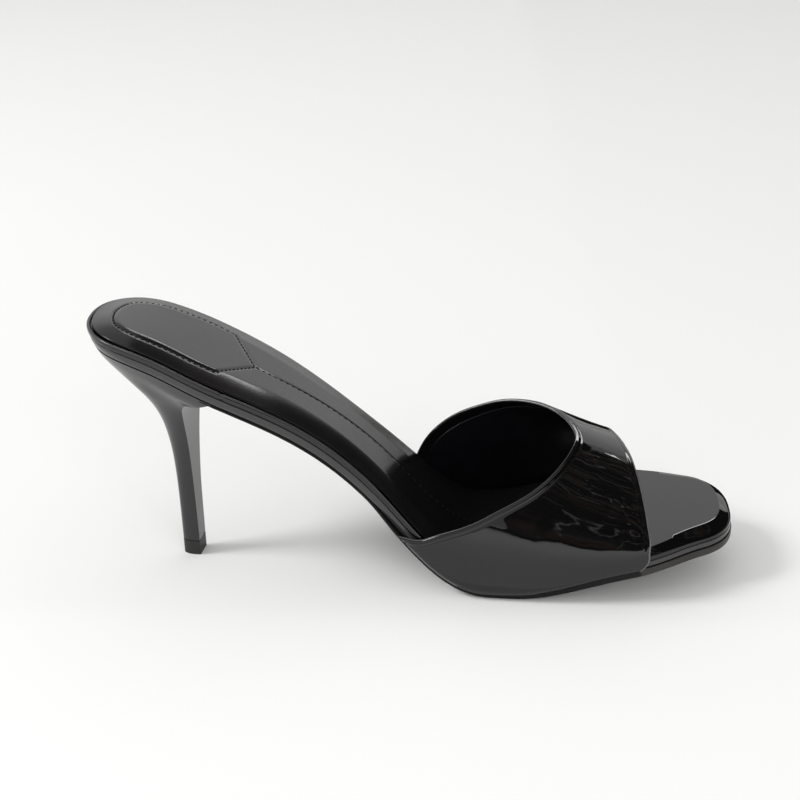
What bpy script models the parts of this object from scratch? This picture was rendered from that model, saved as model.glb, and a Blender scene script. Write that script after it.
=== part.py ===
"""Heeled sandal: a backless right mule with a wide vamp, an open square toe and a slim covered heel.

Metres, +X to the toe, +Z up, +Y to the inner side of the foot, -Y to its outer side.
Everything is worked out along the length from the back of the seat, and the finished
shoe is moved at the end so that the origin lies on the floor under its middle.
"""

import math
from typing import NamedTuple

import bmesh
import bpy
import numpy as np
from mathutils import Matrix

# Driving sizes of the shoe
SHOE_LENGTH = 0.2250
HEEL_LIFT = 0.0869
TOE_SPRING = 0.0133
SEAT_WIDTH = 0.0557
WAIST_WIDTH = 0.0462
BALL_WIDTH = 0.0705
TOE_WIDTH = 0.0445
INSTEP_RISE = 0.0500

# Rounding of the plan
SEAT_ROUND_LENGTH = 0.0240
SEAT_ROUND_POWER = 2.2
TOE_ROUND_LENGTH = 0.0140
TOE_ROUND_POWER = 2.3

# Thickness of each layer, square to the sole, at the shank and at the toe
OUTSOLE_AT_SHANK = 0.0010
OUTSOLE_AT_TOE = 0.0028
MIDSOLE_AT_SHANK = 0.0035
MIDSOLE_AT_TOE = 0.0021
INSOLE_AT_SHANK = 0.0018
INSOLE_AT_TOE = 0.0043

# Edges of the layers, measured inward from the plan
OUTSOLE_INSET_AT_SHANK = 0.0020
OUTSOLE_LEDGE_AT_TOE = 0.0004
OUTSOLE_LEDGE_AT_UPPER = 0.0001
MIDSOLE_TUCK = 0.0018
MIDSOLE_SHOULDER = 0.0006
TOE_BEVEL = 0.0029

# Binding around the edge of the insole, and the padded sock on it
BINDING_WIDTH = 0.0013
BINDING_PROUD = 0.0003
BINDING_END_SHARE = 0.515
SOCK_EDGE = 0.0008
SOCK_PAD = 0.0026
SOCK_MARGIN = 0.0050
SOCK_SLOPE = 0.0060
SOCK_END_SHARE = 0.745

# Upper
UPPER_WALL = 0.0016
LASTING_ROOM = 0.0004
UPPER_ROUND_POWER = 2.2
CROWN_OFFSET = 0.0020

# Heel and its top piece
HEEL_LIP_LENGTH = 0.0460
TIP_LENGTH = 0.0070
TIP_WIDTH = 0.0074
TIP_HEIGHT = 0.0055
TIP_BREAST = 0.0326
HEEL_TURN = 5.0
HEEL_ROUND_POWER = 2.3

# Clearance between two pieces that meet
FIT_GAP = 0.0003

# Where things change along the shoe, as shares of its length
SHANK_END_SHARE = 0.44
FOREPART_SHARE = 0.86
OUTSOLE_TAIL_SHARES = (0.425, 0.480)
OUTSOLE_FRONT_SHARES = (0.830, 0.930)
BEVEL_START_SHARE = 0.525
BEVEL_FULL_SHARE = 0.620
SOCK_FADE_SHARE = 0.600

# Underside of the outsole: share of the length, of the heel lift and of the toe spring.
# Where the curve dips under the floor the tread is flat on it.
BOTTOM_LINE = (
    (0.000, 1.000, 0.000),
    (0.089, 0.946, 0.000),
    (0.178, 0.837, 0.000),
    (0.267, 0.716, 0.000),
    (0.356, 0.556, 0.000),
    (0.444, 0.342, 0.000),
    (0.489, 0.210, 0.000),
    (0.533, 0.089, 0.000),
    (0.578, 0.016, 0.000),
    (0.640, -0.005, 0.000),
    (0.711, 0.000, 0.110),
    (0.756, 0.000, 0.310),
    (0.822, 0.000, 0.617),
    (0.889, 0.000, 0.812),
    (0.947, 0.000, 0.932),
    (1.000, 0.000, 1.000),
)

# Plan of the last: share of the length, the named width there, and the shares of it
# on the outer and on the inner side of the middle line
PLAN_ROWS = (
    (0.000, SEAT_WIDTH, 0.460, 0.463),
    (0.098, SEAT_WIDTH, 0.460, 0.466),
    (0.178, SEAT_WIDTH, 0.494, 0.506),
    (0.267, SEAT_WIDTH, 0.472, 0.470),
    (0.356, WAIST_WIDTH, 0.500, 0.500),
    (0.444, WAIST_WIDTH, 0.523, 0.508),
    (0.533, BALL_WIDTH, 0.424, 0.433),
    (0.622, BALL_WIDTH, 0.447, 0.497),
    (0.711, BALL_WIDTH, 0.458, 0.539),
    (0.800, BALL_WIDTH, 0.458, 0.511),
    (0.867, BALL_WIDTH, 0.431, 0.440),
    (0.911, BALL_WIDTH, 0.366, 0.373),
    (0.942, TOE_WIDTH, 0.500, 0.500),
    (0.978, TOE_WIDTH, 0.436, 0.436),
    (1.000, TOE_WIDTH, 0.405, 0.405),
)

# Crown of the upper: share of the length, and share of the instep rise over the outsole
CROWN_ROWS = (
    (0.460, 1.520),
    (0.533, 1.380),
    (0.600, 1.240),
    (0.667, 1.126),
    (0.720, 0.998),
    (0.770, 0.825),
    (0.800, 0.730),
    (0.870, 0.555),
)

# Edges of the upper: share of the way from the outer feather edge over the foot to the
# inner one, and the length shares of the collar and of the front edge there
UPPER_EDGES = (
    (0.00, 0.476, 0.848),
    (0.01, 0.499, 0.855),
    (0.05, 0.536, 0.862),
    (0.10, 0.575, 0.863),
    (0.15, 0.623, 0.860),
    (0.20, 0.671, 0.857),
    (0.26, 0.710, 0.853),
    (0.33, 0.736, 0.848),
    (0.40, 0.751, 0.842),
    (0.46, 0.755, 0.836),
    (0.52, 0.745, 0.826),
    (0.58, 0.722, 0.816),
    (0.65, 0.681, 0.808),
    (0.72, 0.634, 0.805),
    (0.80, 0.587, 0.807),
    (0.88, 0.545, 0.813),
    (0.95, 0.508, 0.819),
    (1.00, 0.480, 0.823),
)

# Heel sections from the tip up: shares of the heel's height at its back and at its
# breast, share of the way from the tip's back to the seat's back, from the tip's
# breast to the end of the lip, and from the tip's width to the seat's width
HEEL_ROWS = (
    (0.000, 0.000, 0.000, 0.000, 0.000),
    (0.110, 0.130, 0.000, 0.000, 0.008),
    (0.260, 0.320, 0.004, 0.000, 0.030),
    (0.400, 0.490, 0.020, 0.010, 0.085),
    (0.510, 0.630, 0.056, 0.020, 0.165),
    (0.610, 0.740, 0.125, 0.030, 0.270),
    (0.700, 0.825, 0.250, 0.045, 0.380),
    (0.780, 0.888, 0.430, 0.080, 0.490),
    (0.850, 0.928, 0.625, 0.170, 0.600),
    (0.910, 0.949, 0.800, 0.340, 0.720),
    (0.960, 0.962, 0.930, 0.600, 0.850),
)

# Bevel of the insole's edge at the toe: share of its thickness down, share of the bevel in
BEVEL_ROWS = (
    (1.00, 0.00),
    (0.62, 0.06),
    (0.34, 0.28),
    (0.12, 0.66),
    (0.00, 1.00),
)

# Padding of the sock: share of the margin in, share of the slope in, share of the pad up
SOCK_ROWS = (
    (0.00, 0.00, 0.00),
    (1.00, 0.00, 0.04),
    (1.00, 0.30, 0.30),
    (1.00, 0.65, 0.80),
    (1.00, 1.00, 1.00),
)

# Round section of the binding: share of its width in, share of its height up
BINDING_SECTION = (
    (0.25, 0.00),
    (0.00, 0.28),
    (0.00, 0.72),
    (0.25, 1.00),
    (0.70, 1.00),
    (1.00, 0.80),
    (1.00, 0.00),
)

OUTER_SIDE = -1.0
INNER_SIDE = 1.0

# How finely the meshes are divided
DENSE_COUNT = 1201
FULL_COUNT = 54
BINDING_COUNT = 44
SOCK_COUNT = 44
UPPER_COUNT_OVER = 56
UPPER_COUNT_ALONG = 12
HEEL_COUNT = 22
TIP_COUNT = 12
TURN_WEIGHT = 0.022
SLOPE_REACH = 0.0005
WELD_DISTANCE = 0.000002


class Finish(NamedTuple):
    """Plain look of one kind of surface."""

    colour: tuple
    roughness: float
    coat: float


PATENT = Finish((0.012, 0.012, 0.013, 1.0), 0.12, 1.0)
HEEL_COVER = Finish((0.012, 0.012, 0.013, 1.0), 0.20, 0.6)
SOCK_LEATHER = Finish((0.030, 0.030, 0.032, 1.0), 0.45, 0.0)
SOLE_LEATHER = Finish((0.020, 0.019, 0.018, 1.0), 0.50, 0.0)
TOP_PIECE = Finish((0.015, 0.015, 0.015, 1.0), 0.50, 0.0)


def clear_scene():
    """Remove whatever the opened scene holds."""
    for item in list(bpy.data.objects):
        bpy.data.objects.remove(item)


def spline(stations, values):
    """A natural cubic spline through the values, carried on straight past both ends."""
    stations = np.asarray(stations, float)
    values = np.asarray(values, float)
    steps = np.diff(stations)
    rises = np.diff(values) / steps
    count = len(stations)
    system = np.eye(count)
    bends = np.zeros(count)
    for row in range(1, count - 1):
        system[row, row - 1] = steps[row - 1]
        system[row, row] = 2.0 * (steps[row - 1] + steps[row])
        system[row, row + 1] = steps[row]
        bends[row] = 6.0 * (rises[row] - rises[row - 1])
    bends = np.linalg.solve(system, bends)

    def value(x):
        x = np.asarray(x, float)
        inside = np.clip(x, stations[0], stations[-1])
        span = np.clip(np.searchsorted(stations, inside) - 1, 0, count - 2)
        step = steps[span]
        left = stations[span + 1] - inside
        right = inside - stations[span]
        curve = (bends[span] * left ** 3 + bends[span + 1] * right ** 3) / (6.0 * step)
        curve = curve + (values[span] / step - bends[span] * step / 6.0) * left
        curve = curve + (values[span + 1] / step - bends[span + 1] * step / 6.0) * right
        first = rises[0] - steps[0] * bends[1] / 6.0
        last = rises[-1] + steps[-1] * bends[-2] / 6.0
        curve = curve + np.minimum(x - stations[0], 0.0) * first
        return curve + np.maximum(x - stations[-1], 0.0) * last

    return value


def ease(x, start, end):
    """0 before start, 1 after end, with a smooth step between."""
    share = np.clip((np.asarray(x, float) - start) / (end - start), 0.0, 1.0)
    return share * share * (3.0 - 2.0 * share)


def column(rows, index):
    """One column of a table."""
    return np.array([row[index] for row in rows], float)


LENGTHS = column(BOTTOM_LINE, 0) * SHOE_LENGTH
BOTTOM_CURVE = spline(LENGTHS, column(BOTTOM_LINE, 1) * HEEL_LIFT + column(BOTTOM_LINE, 2) * TOE_SPRING)
PLAN_LENGTHS = column(PLAN_ROWS, 0) * SHOE_LENGTH
PLAN_CURVES = {
    OUTER_SIDE: spline(PLAN_LENGTHS, column(PLAN_ROWS, 1) * column(PLAN_ROWS, 2)),
    INNER_SIDE: spline(PLAN_LENGTHS, column(PLAN_ROWS, 1) * column(PLAN_ROWS, 3)),
}
CROWN_CURVE = spline(column(CROWN_ROWS, 0) * SHOE_LENGTH, column(CROWN_ROWS, 1) * INSTEP_RISE)


def bottom(x):
    """Height of the outsole's underside, flat on the floor at the tread."""
    return np.maximum(BOTTOM_CURVE(x), 0.0)


def upright(x):
    """How much taller a layer stands than it is thick, because the sole slopes."""
    x = np.asarray(x, float)
    rise = BOTTOM_CURVE(x + SLOPE_REACH) - BOTTOM_CURVE(x - SLOPE_REACH)
    return np.sqrt(1.0 + (rise / (2.0 * SLOPE_REACH)) ** 2)


def toeward(x):
    """0 at the shank and 1 at the toe, for what changes along the forepart."""
    return ease(x, SHANK_END_SHARE * SHOE_LENGTH, FOREPART_SHARE * SHOE_LENGTH)


def layer(x, at_shank, at_toe):
    """Standing height of one layer at x."""
    return (at_shank + (at_toe - at_shank) * toeward(x)) * upright(x)


def outsole_top(x):
    """Upper face of the outsole, which is also the height that the heel's seat follows."""
    return bottom(x) + layer(x, OUTSOLE_AT_SHANK, OUTSOLE_AT_TOE)


def midsole_foot(x):
    """Lower face of the midsole."""
    return outsole_top(x) + FIT_GAP


def midsole_top(x):
    """Upper face of the midsole."""
    return midsole_foot(x) + layer(x, MIDSOLE_AT_SHANK, MIDSOLE_AT_TOE)


def insole_foot(x):
    """Lower face of the insole."""
    return midsole_top(x) + FIT_GAP


def insole_top(x):
    """Upper face of the insole, where the foot's sock lies."""
    return insole_foot(x) + layer(x, INSOLE_AT_SHANK, INSOLE_AT_TOE)


def half_width(x, side):
    """Distance from the middle line to the plan's edge, rounded at the seat and the toe."""
    back = np.clip(1.0 - x / SEAT_ROUND_LENGTH, 0.0, 1.0)
    front = np.clip(1.0 - (SHOE_LENGTH - x) / TOE_ROUND_LENGTH, 0.0, 1.0)
    seat = (1.0 - back ** SEAT_ROUND_POWER) ** (1.0 / SEAT_ROUND_POWER)
    toe = (1.0 - front ** TOE_ROUND_POWER) ** (1.0 / TOE_ROUND_POWER)
    return PLAN_CURVES[side](x) * seat * toe


def dense_side(side):
    """One side of the plan from the back of the seat to the toe, with its inward normals."""
    angle = np.linspace(0.0, math.pi, DENSE_COUNT)
    x = SHOE_LENGTH * 0.5 * (1.0 - np.cos(angle))
    y = side * half_width(x, side)
    along = np.stack([np.gradient(x), np.gradient(y)], axis=1)
    along = along / np.linalg.norm(along, axis=1)[:, None]
    inward = np.stack([along[:, 1], -along[:, 0]], axis=1) * side
    inward[0] = (1.0, 0.0)
    inward[-1] = (-1.0, 0.0)
    return x, y, inward


PLAN = {side: dense_side(side) for side in (OUTER_SIDE, INNER_SIDE)}


def station_measure():
    """A measure along the shoe that grows faster where the plan turns or the sole bends."""
    x = PLAN[OUTER_SIDE][0]
    slant = np.arctan(np.gradient(BOTTOM_CURVE(x), x))
    growth = TURN_WEIGHT * np.abs(np.diff(slant))
    for side_x, side_y, inward in PLAN.values():
        turn = np.linalg.norm(np.diff(inward, axis=0), axis=1)
        growth = growth + np.hypot(np.diff(side_x), np.diff(side_y)) + TURN_WEIGHT * turn
    return np.concatenate([[0.0], np.cumsum(growth)])


MEASURE = station_measure()


def stretch(side, start, end, count):
    """Plan points and normals at stations between two lengths, the same for both sides."""
    x, y, inward = PLAN[side]
    first = np.interp(start, x, MEASURE)
    last = np.interp(end, x, MEASURE)
    wanted = np.linspace(first, last, count)
    picked = [np.interp(wanted, MEASURE, values) for values in (x, y, inward[:, 0], inward[:, 1])]
    normal = np.stack(picked[2:], axis=1)
    normal = normal / np.linalg.norm(normal, axis=1)[:, None]
    return picked[0], picked[1], normal


def edge_line(side, inset, height, start, end, count):
    """A line along one side: moved inward by inset(x) and lifted to height(x)."""
    x, y, inward = stretch(side, start, end, count)
    moved = inset(x) if callable(inset) else inset
    px = x + inward[:, 0] * moved
    py = y + inward[:, 1] * moved
    return np.stack([px, py, height(px)], axis=1)


def edge_ring(inset, height, start=0.0, end=SHOE_LENGTH, count=FULL_COUNT):
    """A closed ring: out along the outer side and back along the inner side."""
    outer = edge_line(OUTER_SIDE, inset, height, start, end, count)
    inner = edge_line(INNER_SIDE, inset, height, start, end, count)
    return np.concatenate([outer, inner[::-1]])


def finish_mesh(name, mesh, finish, sharp_angle, home):
    """Weld the mesh, point its faces out, give it its material and put it in the collection."""
    work = bmesh.new()
    work.from_mesh(mesh)
    bmesh.ops.remove_doubles(work, verts=work.verts, dist=WELD_DISTANCE)
    bmesh.ops.dissolve_degenerate(work, edges=work.edges, dist=WELD_DISTANCE)
    bmesh.ops.recalc_face_normals(work, faces=work.faces)
    work.to_mesh(mesh)
    work.free()
    mesh.shade_smooth()
    mesh.set_sharp_from_angle(angle=math.radians(sharp_angle))
    material = bpy.data.materials.new(name + "_finish")
    material.use_nodes = True
    shader = material.node_tree.nodes["Principled BSDF"]
    shader.inputs["Base Color"].default_value = finish.colour
    shader.inputs["Roughness"].default_value = finish.roughness
    shader.inputs["Metallic"].default_value = 0.0
    shader.inputs["Coat Weight"].default_value = finish.coat
    mesh.materials.append(material)
    item = bpy.data.objects.new(name, mesh)
    home.objects.link(item)
    return item


def ring_body(name, rings):
    """A closed mesh through rings of equal count, the first and last filled straight across."""
    count = len(rings[0])
    points = np.concatenate(rings)
    around = np.arange(count)
    after = (around + 1) % count
    faces = []
    for level in range(len(rings) - 1):
        low = level * count
        high = low + count
        for here, there in zip(around, after):
            faces.append((low + here, low + there, high + there, high + here))
    last = (len(rings) - 1) * count
    for here in range(count // 2 - 1):
        there = count - 1 - here
        faces.append((here, there, there - 1, here + 1))
        faces.append((last + here, last + here + 1, last + there - 1, last + there))
    mesh = bpy.data.meshes.new(name)
    mesh.from_pydata(points.tolist(), [], [tuple(int(i) for i in face) for face in faces])
    return mesh


def swept_body(name, sections):
    """A closed mesh through sections of equal count along a path, with its two ends filled."""
    count = len(sections[0])
    faces = [tuple(range(count))]
    for step in range(len(sections) - 1):
        low = step * count
        high = low + count
        for here in range(count):
            there = (here + 1) % count
            faces.append((low + here, low + there, high + there, high + here))
    last = (len(sections) - 1) * count
    faces.append(tuple(last + here for here in reversed(range(count))))
    mesh = bpy.data.meshes.new(name)
    mesh.from_pydata(np.concatenate(sections).tolist(), [], faces)
    return mesh


def upper_overhang():
    """How far the upper's outside stands out from the plan at its foot."""
    return FIT_GAP + LASTING_ROOM + UPPER_WALL


def outsole_inset(x):
    """The outsole's edge: in under the shank, out under the upper, and nearly flush at the toe."""
    under_upper = -(upper_overhang() + OUTSOLE_LEDGE_AT_UPPER)
    tail_start, tail_end = OUTSOLE_TAIL_SHARES
    front_start, front_end = OUTSOLE_FRONT_SHARES
    tail = ease(x, tail_start * SHOE_LENGTH, tail_end * SHOE_LENGTH)
    front = ease(x, front_start * SHOE_LENGTH, front_end * SHOE_LENGTH)
    at_front = -OUTSOLE_LEDGE_AT_TOE
    at_tail = OUTSOLE_INSET_AT_SHANK + (under_upper - OUTSOLE_INSET_AT_SHANK) * tail
    return at_tail + (at_front - under_upper) * front


def make_outsole(home):
    """The thin sole from the heel's lip to the toe, flat on the floor under the ball."""
    start = HEEL_LIP_LENGTH + FIT_GAP
    rings = [
        edge_ring(outsole_inset, bottom, start=start),
        edge_ring(outsole_inset, outsole_top, start=start),
    ]
    mesh = ring_body("outsole", rings)
    return finish_mesh("outsole", mesh, SOLE_LEATHER, 35.0, home)


def make_midsole(home):
    """The covered platform whose side shows as a wall in the shank and a thin band at the toe."""
    def foot_inset(x):
        return MIDSOLE_TUCK * (1.0 - toeward(x))

    def shoulder_inset(x):
        return MIDSOLE_SHOULDER * (1.0 - toeward(x))

    rings = [edge_ring(foot_inset, midsole_foot), edge_ring(shoulder_inset, midsole_top)]
    mesh = ring_body("midsole", rings)
    return finish_mesh("midsole", mesh, PATENT, 35.0, home)


def insole_inset(share):
    """Inset of one level of the insole's edge: behind the binding, then bevelled at the toe."""
    behind = BINDING_WIDTH + FIT_GAP

    def inset(x):
        open_edge = ease(x, BEVEL_START_SHARE * SHOE_LENGTH, BEVEL_FULL_SHARE * SHOE_LENGTH)
        return behind + (TOE_BEVEL * share - behind) * open_edge

    return inset


def make_insole(home):
    """The board that the foot stands on, with a bevelled edge at the open toe."""
    def level(depth):
        def height(x):
            return insole_top(x) + (insole_foot(x) - insole_top(x)) * depth
        return height

    rings = [edge_ring(insole_inset(share), level(depth)) for depth, share in BEVEL_ROWS]
    mesh = ring_body("insole", rings)
    return finish_mesh("insole", mesh, PATENT, 35.0, home)


def make_binding(home):
    """The rounded strip around the insole's edge, from one tail of the upper to the other."""
    end = BINDING_END_SHARE * SHOE_LENGTH
    lines = []
    for inward, up in BINDING_SECTION:
        def height(x, up=up):
            return insole_foot(x) + (insole_top(x) + BINDING_PROUD - insole_foot(x)) * up

        inset = BINDING_WIDTH * inward
        outer = edge_line(OUTER_SIDE, inset, height, 0.0, end, BINDING_COUNT)
        inner = edge_line(INNER_SIDE, inset, height, 0.0, end, BINDING_COUNT)
        lines.append(np.concatenate([outer[::-1], inner[1:]]))
    sections = [np.array([line[step] for line in lines]) for step in range(len(lines[0]))]
    mesh = swept_body("binding", sections)
    return finish_mesh("binding", mesh, PATENT, 50.0, home)


def make_sock(home):
    """The padded sock: a thin margin, a slope, and a raised cushion along the middle."""
    end = SOCK_END_SHARE * SHOE_LENGTH
    edge = BINDING_WIDTH + 2.0 * FIT_GAP

    def foot(x):
        return insole_top(x) + FIT_GAP

    rings = [edge_ring(edge, foot, end=end, count=SOCK_COUNT)]
    for margin, slope, up in SOCK_ROWS:
        inset = edge + SOCK_MARGIN * margin + SOCK_SLOPE * slope

        def height(x, up=up):
            fade = 1.0 - ease(x, SOCK_FADE_SHARE * SHOE_LENGTH, SOCK_END_SHARE * SHOE_LENGTH)
            return foot(x) + SOCK_EDGE + SOCK_PAD * up * fade

        rings.append(edge_ring(inset, height, end=end - inset, count=SOCK_COUNT))
    mesh = ring_body("sock", rings)
    return finish_mesh("sock", mesh, SOCK_LEATHER, 50.0, home)


def upper_point(share, x, shrink):
    """A point of the upper: a rounded arch over the foot at x, shrunk inward by a wall."""
    angle = math.pi * share
    outer = half_width(x, OUTER_SIDE) + upper_overhang() - shrink
    inner = half_width(x, INNER_SIDE) + upper_overhang() - shrink
    rise = CROWN_CURVE(x) - shrink
    power = 2.0 / UPPER_ROUND_POWER
    across = np.cos(angle)
    reach = np.where(across > 0.0, outer + CROWN_OFFSET, inner - CROWN_OFFSET)
    y = CROWN_OFFSET - np.sign(across) * reach * np.abs(across) ** power
    z = midsole_foot(x) + rise * np.abs(np.sin(angle)) ** power
    return np.stack([x, y, z], axis=-1)


def make_upper(home):
    """The vamp: one hollow band over the forefoot, open at the collar, the toe and underneath."""
    over = UPPER_COUNT_OVER
    along = UPPER_COUNT_ALONG
    share = np.linspace(0.0, 1.0, over + 1)[:, None]
    step = np.linspace(0.0, 1.0, along + 1)[None, :]
    places = column(UPPER_EDGES, 0)
    collar = spline(places, column(UPPER_EDGES, 1) * SHOE_LENGTH)(share)
    front = spline(places, column(UPPER_EDGES, 2) * SHOE_LENGTH)(share)
    x = collar + (front - collar) * step
    share = np.broadcast_to(share, x.shape)
    outside = upper_point(share, x, 0.0).reshape(-1, 3)
    inside = upper_point(share, x, UPPER_WALL).reshape(-1, 3)
    grid = np.arange((over + 1) * (along + 1)).reshape(over + 1, along + 1)
    back = len(outside)
    faces = []
    for row in range(over):
        for col in range(along):
            quad = (grid[row, col], grid[row, col + 1], grid[row + 1, col + 1], grid[row + 1, col])
            faces.append(quad)
            faces.append(tuple(index + back for index in reversed(quad)))
    edge = list(grid[0, :]) + list(grid[1:, -1]) + list(grid[-1, -2::-1]) + list(grid[-2:0:-1, 0])
    for here, there in zip(edge, edge[1:] + edge[:1]):
        faces.append((here, there, there + back, here + back))
    mesh = bpy.data.meshes.new("upper")
    points = np.concatenate([outside, inside]).tolist()
    mesh.from_pydata(points, [], [tuple(int(i) for i in face) for face in faces])
    return finish_mesh("upper", mesh, PATENT, 50.0, home)


def half_section(back, breast, width, count):
    """A D-shaped section in plan: flat at the breast and rounded at the back."""
    share = 1.0 - np.cos(np.linspace(0.0, 0.5 * math.pi, count))
    share = share[::-1]
    x = breast - (breast - back) * share
    y = 0.5 * width * (1.0 - share ** HEEL_ROUND_POWER) ** (1.0 / HEEL_ROUND_POWER)
    return x, y, share


def make_heel(home):
    """The slim covered heel, lofted from its tip up into the seat."""
    count = HEEL_COUNT
    lip = HEEL_LIP_LENGTH
    foot = TIP_HEIGHT + FIT_GAP
    tuck = MIDSOLE_TUCK
    seat_outer = edge_line(OUTER_SIDE, tuck, outsole_top, 0.0, lip, count)
    seat_inner = edge_line(INNER_SIDE, tuck, outsole_top, 0.0, lip, count)
    seat_back = seat_outer[0, 0]
    seat_width = seat_inner[-1, 1] - seat_outer[-1, 1]
    back_rise = float(outsole_top(seat_back)) - foot
    breast_rise = float(outsole_top(lip)) - foot
    tip_back = TIP_BREAST - TIP_LENGTH
    rings = []
    for back_up, breast_up, backward, forward, spread in HEEL_ROWS:
        back = tip_back + (seat_back - tip_back) * backward
        breast = TIP_BREAST + (lip - TIP_BREAST) * forward
        width = TIP_WIDTH + (seat_width - TIP_WIDTH) * spread
        x, y, share = half_section(back, breast, width, count)
        z = foot + breast_rise * breast_up + (back_rise * back_up - breast_rise * breast_up) * share
        turn = math.sin(math.radians(HEEL_TURN)) * (1.0 - spread)
        outer = np.stack([x - y * turn, -y, z], axis=1)
        inner = np.stack([x + y * turn, y, z], axis=1)
        rings.append(np.concatenate([outer, inner[::-1]]))
    rings.append(np.concatenate([seat_outer, seat_inner[::-1]]))
    mesh = ring_body("heel", rings)
    return finish_mesh("heel", mesh, HEEL_COVER, 50.0, home)


def make_heel_tip(home):
    """The hard top piece under the heel, flat on the floor."""
    x, y, share = half_section(TIP_BREAST - TIP_LENGTH, TIP_BREAST, TIP_WIDTH, TIP_COUNT)
    turn = math.sin(math.radians(HEEL_TURN))
    rings = []
    for height in (0.0, TIP_HEIGHT):
        outer = np.stack([x - y * turn, -y, np.full_like(x, height)], axis=1)
        inner = np.stack([x + y * turn, y, np.full_like(x, height)], axis=1)
        rings.append(np.concatenate([outer, inner[::-1]]))
    mesh = ring_body("heel_tip", rings)
    return finish_mesh("heel_tip", mesh, TOP_PIECE, 40.0, home)


def centre_on_floor(items):
    """Move every piece so that the origin lies on the floor under the middle of the shoe."""
    corners = np.concatenate([[vertex.co[:] for vertex in item.data.vertices] for item in items])
    low = corners.min(axis=0)
    high = corners.max(axis=0)
    move = Matrix.Translation((-(low[0] + high[0]) / 2.0, -(low[1] + high[1]) / 2.0, 0.0))
    for item in items:
        item.data.transform(move)
        item.data.update()


def main():
    """Build every piece of the sandal."""
    clear_scene()
    home = bpy.data.collections.new("heeled_sandal")
    bpy.context.scene.collection.children.link(home)
    items = [
        make_outsole(home),
        make_midsole(home),
        make_insole(home),
        make_binding(home),
        make_sock(home),
        make_upper(home),
        make_heel(home),
        make_heel_tip(home),
    ]
    centre_on_floor(items)


main()
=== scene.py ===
"""Dressed model of a heeled sandal: a backless patent mule with an open square toe.

Metres, +X to the toe, +Y to the inner side of the foot and +Z up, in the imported
model's frame. Every surface is worked out from the last's own curves.
"""

import logging
import math
from dataclasses import dataclass, field, replace
from enum import Enum, IntEnum
from typing import Callable, Sequence

import bmesh
import bpy
import numpy as np
from mathutils import Matrix, Vector


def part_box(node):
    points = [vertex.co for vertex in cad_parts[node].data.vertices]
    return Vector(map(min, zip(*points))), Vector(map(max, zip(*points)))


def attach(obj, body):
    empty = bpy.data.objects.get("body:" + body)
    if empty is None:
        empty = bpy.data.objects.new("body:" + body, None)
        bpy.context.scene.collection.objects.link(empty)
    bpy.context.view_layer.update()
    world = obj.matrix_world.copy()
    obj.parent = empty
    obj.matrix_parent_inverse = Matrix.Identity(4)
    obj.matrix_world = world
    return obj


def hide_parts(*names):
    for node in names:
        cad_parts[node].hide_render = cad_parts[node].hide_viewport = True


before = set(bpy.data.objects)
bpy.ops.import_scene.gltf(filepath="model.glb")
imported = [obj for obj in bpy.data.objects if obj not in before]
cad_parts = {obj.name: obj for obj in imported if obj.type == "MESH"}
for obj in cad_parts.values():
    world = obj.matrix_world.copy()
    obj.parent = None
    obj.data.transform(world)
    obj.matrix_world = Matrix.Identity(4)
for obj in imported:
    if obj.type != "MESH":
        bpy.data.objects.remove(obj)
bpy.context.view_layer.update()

LOG = logging.getLogger("heeled_sandal")

# A curve read at lengths, what feeds a shader node by its inputs, and a panel's corners
Profile = Callable[[np.ndarray], np.ndarray]
Feeds = dict[str | int, object]
Corners = Sequence[Sequence[float]]

# A millimetre in metres, the imported model's one body, and the number of the lighter edge finish that
# paints a highlight
MM = 0.001
BODY = "root"
HIGHLIGHT_FINISH_NUMBER = 1


class Side(Enum):
    """The two long sides of the shoe, by the sign of their Y."""

    OUTER = -1.0
    INNER = 1.0


class SoleFinish(IntEnum):
    """Numbers of the outsole's finishes, in the order that the piece takes them."""

    FACE = 0
    BARE_EDGE = 1
    # A darker copy of the bare edge: painted shade where the shoe stands over it.
    BLACK_EDGE = 2


# Underside of the sole: share of the length, of the heel lift and of the toe spring
BOTTOM_LINE = (
    (0.000, 1.000, 0.000),
    (0.089, 0.946, 0.000),
    (0.178, 0.837, 0.000),
    (0.267, 0.716, 0.000),
    (0.356, 0.556, 0.000),
    (0.444, 0.342, 0.000),
    (0.489, 0.210, 0.000),
    (0.533, 0.097, 0.000),
    (0.578, 0.023, 0.000),
    (0.640, -0.003, 0.000),
    (0.711, 0.000, 0.110),
    (0.756, 0.000, 0.310),
    (0.822, 0.000, 0.617),
    (0.889, 0.000, 0.812),
    (0.947, 0.000, 0.932),
    (1.000, 0.000, 1.000),
)

# Plan of the last: share of the length, half width in millimetres outside and inside
PLAN_ROWS = (
    (0.000, 25.62, 25.79),
    (0.098, 25.62, 25.96),
    (0.178, 27.52, 28.18),
    (0.267, 26.29, 26.18),
    (0.356, 23.10, 23.10),
    (0.444, 24.16, 23.47),
    (0.533, 28.70, 30.53),
    (0.622, 31.20, 35.04),
    (0.711, 32.29, 38.00),
    (0.800, 32.29, 36.03),
    (0.867, 30.39, 31.02),
    (0.911, 25.80, 27.30),
    (0.942, 22.25, 24.30),
    (0.978, 19.40, 21.20),
    (1.000, 18.02, 19.20),
)

# Crown of the vamp: share of the length, and share of the instep rise over the sole
CROWN_ROWS = (
    (0.460, 1.520),
    (0.533, 1.380),
    (0.600, 1.240),
    (0.667, 1.126),
    (0.720, 0.998),
    (0.770, 0.825),
    (0.800, 0.730),
    (0.870, 0.555),
)

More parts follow.
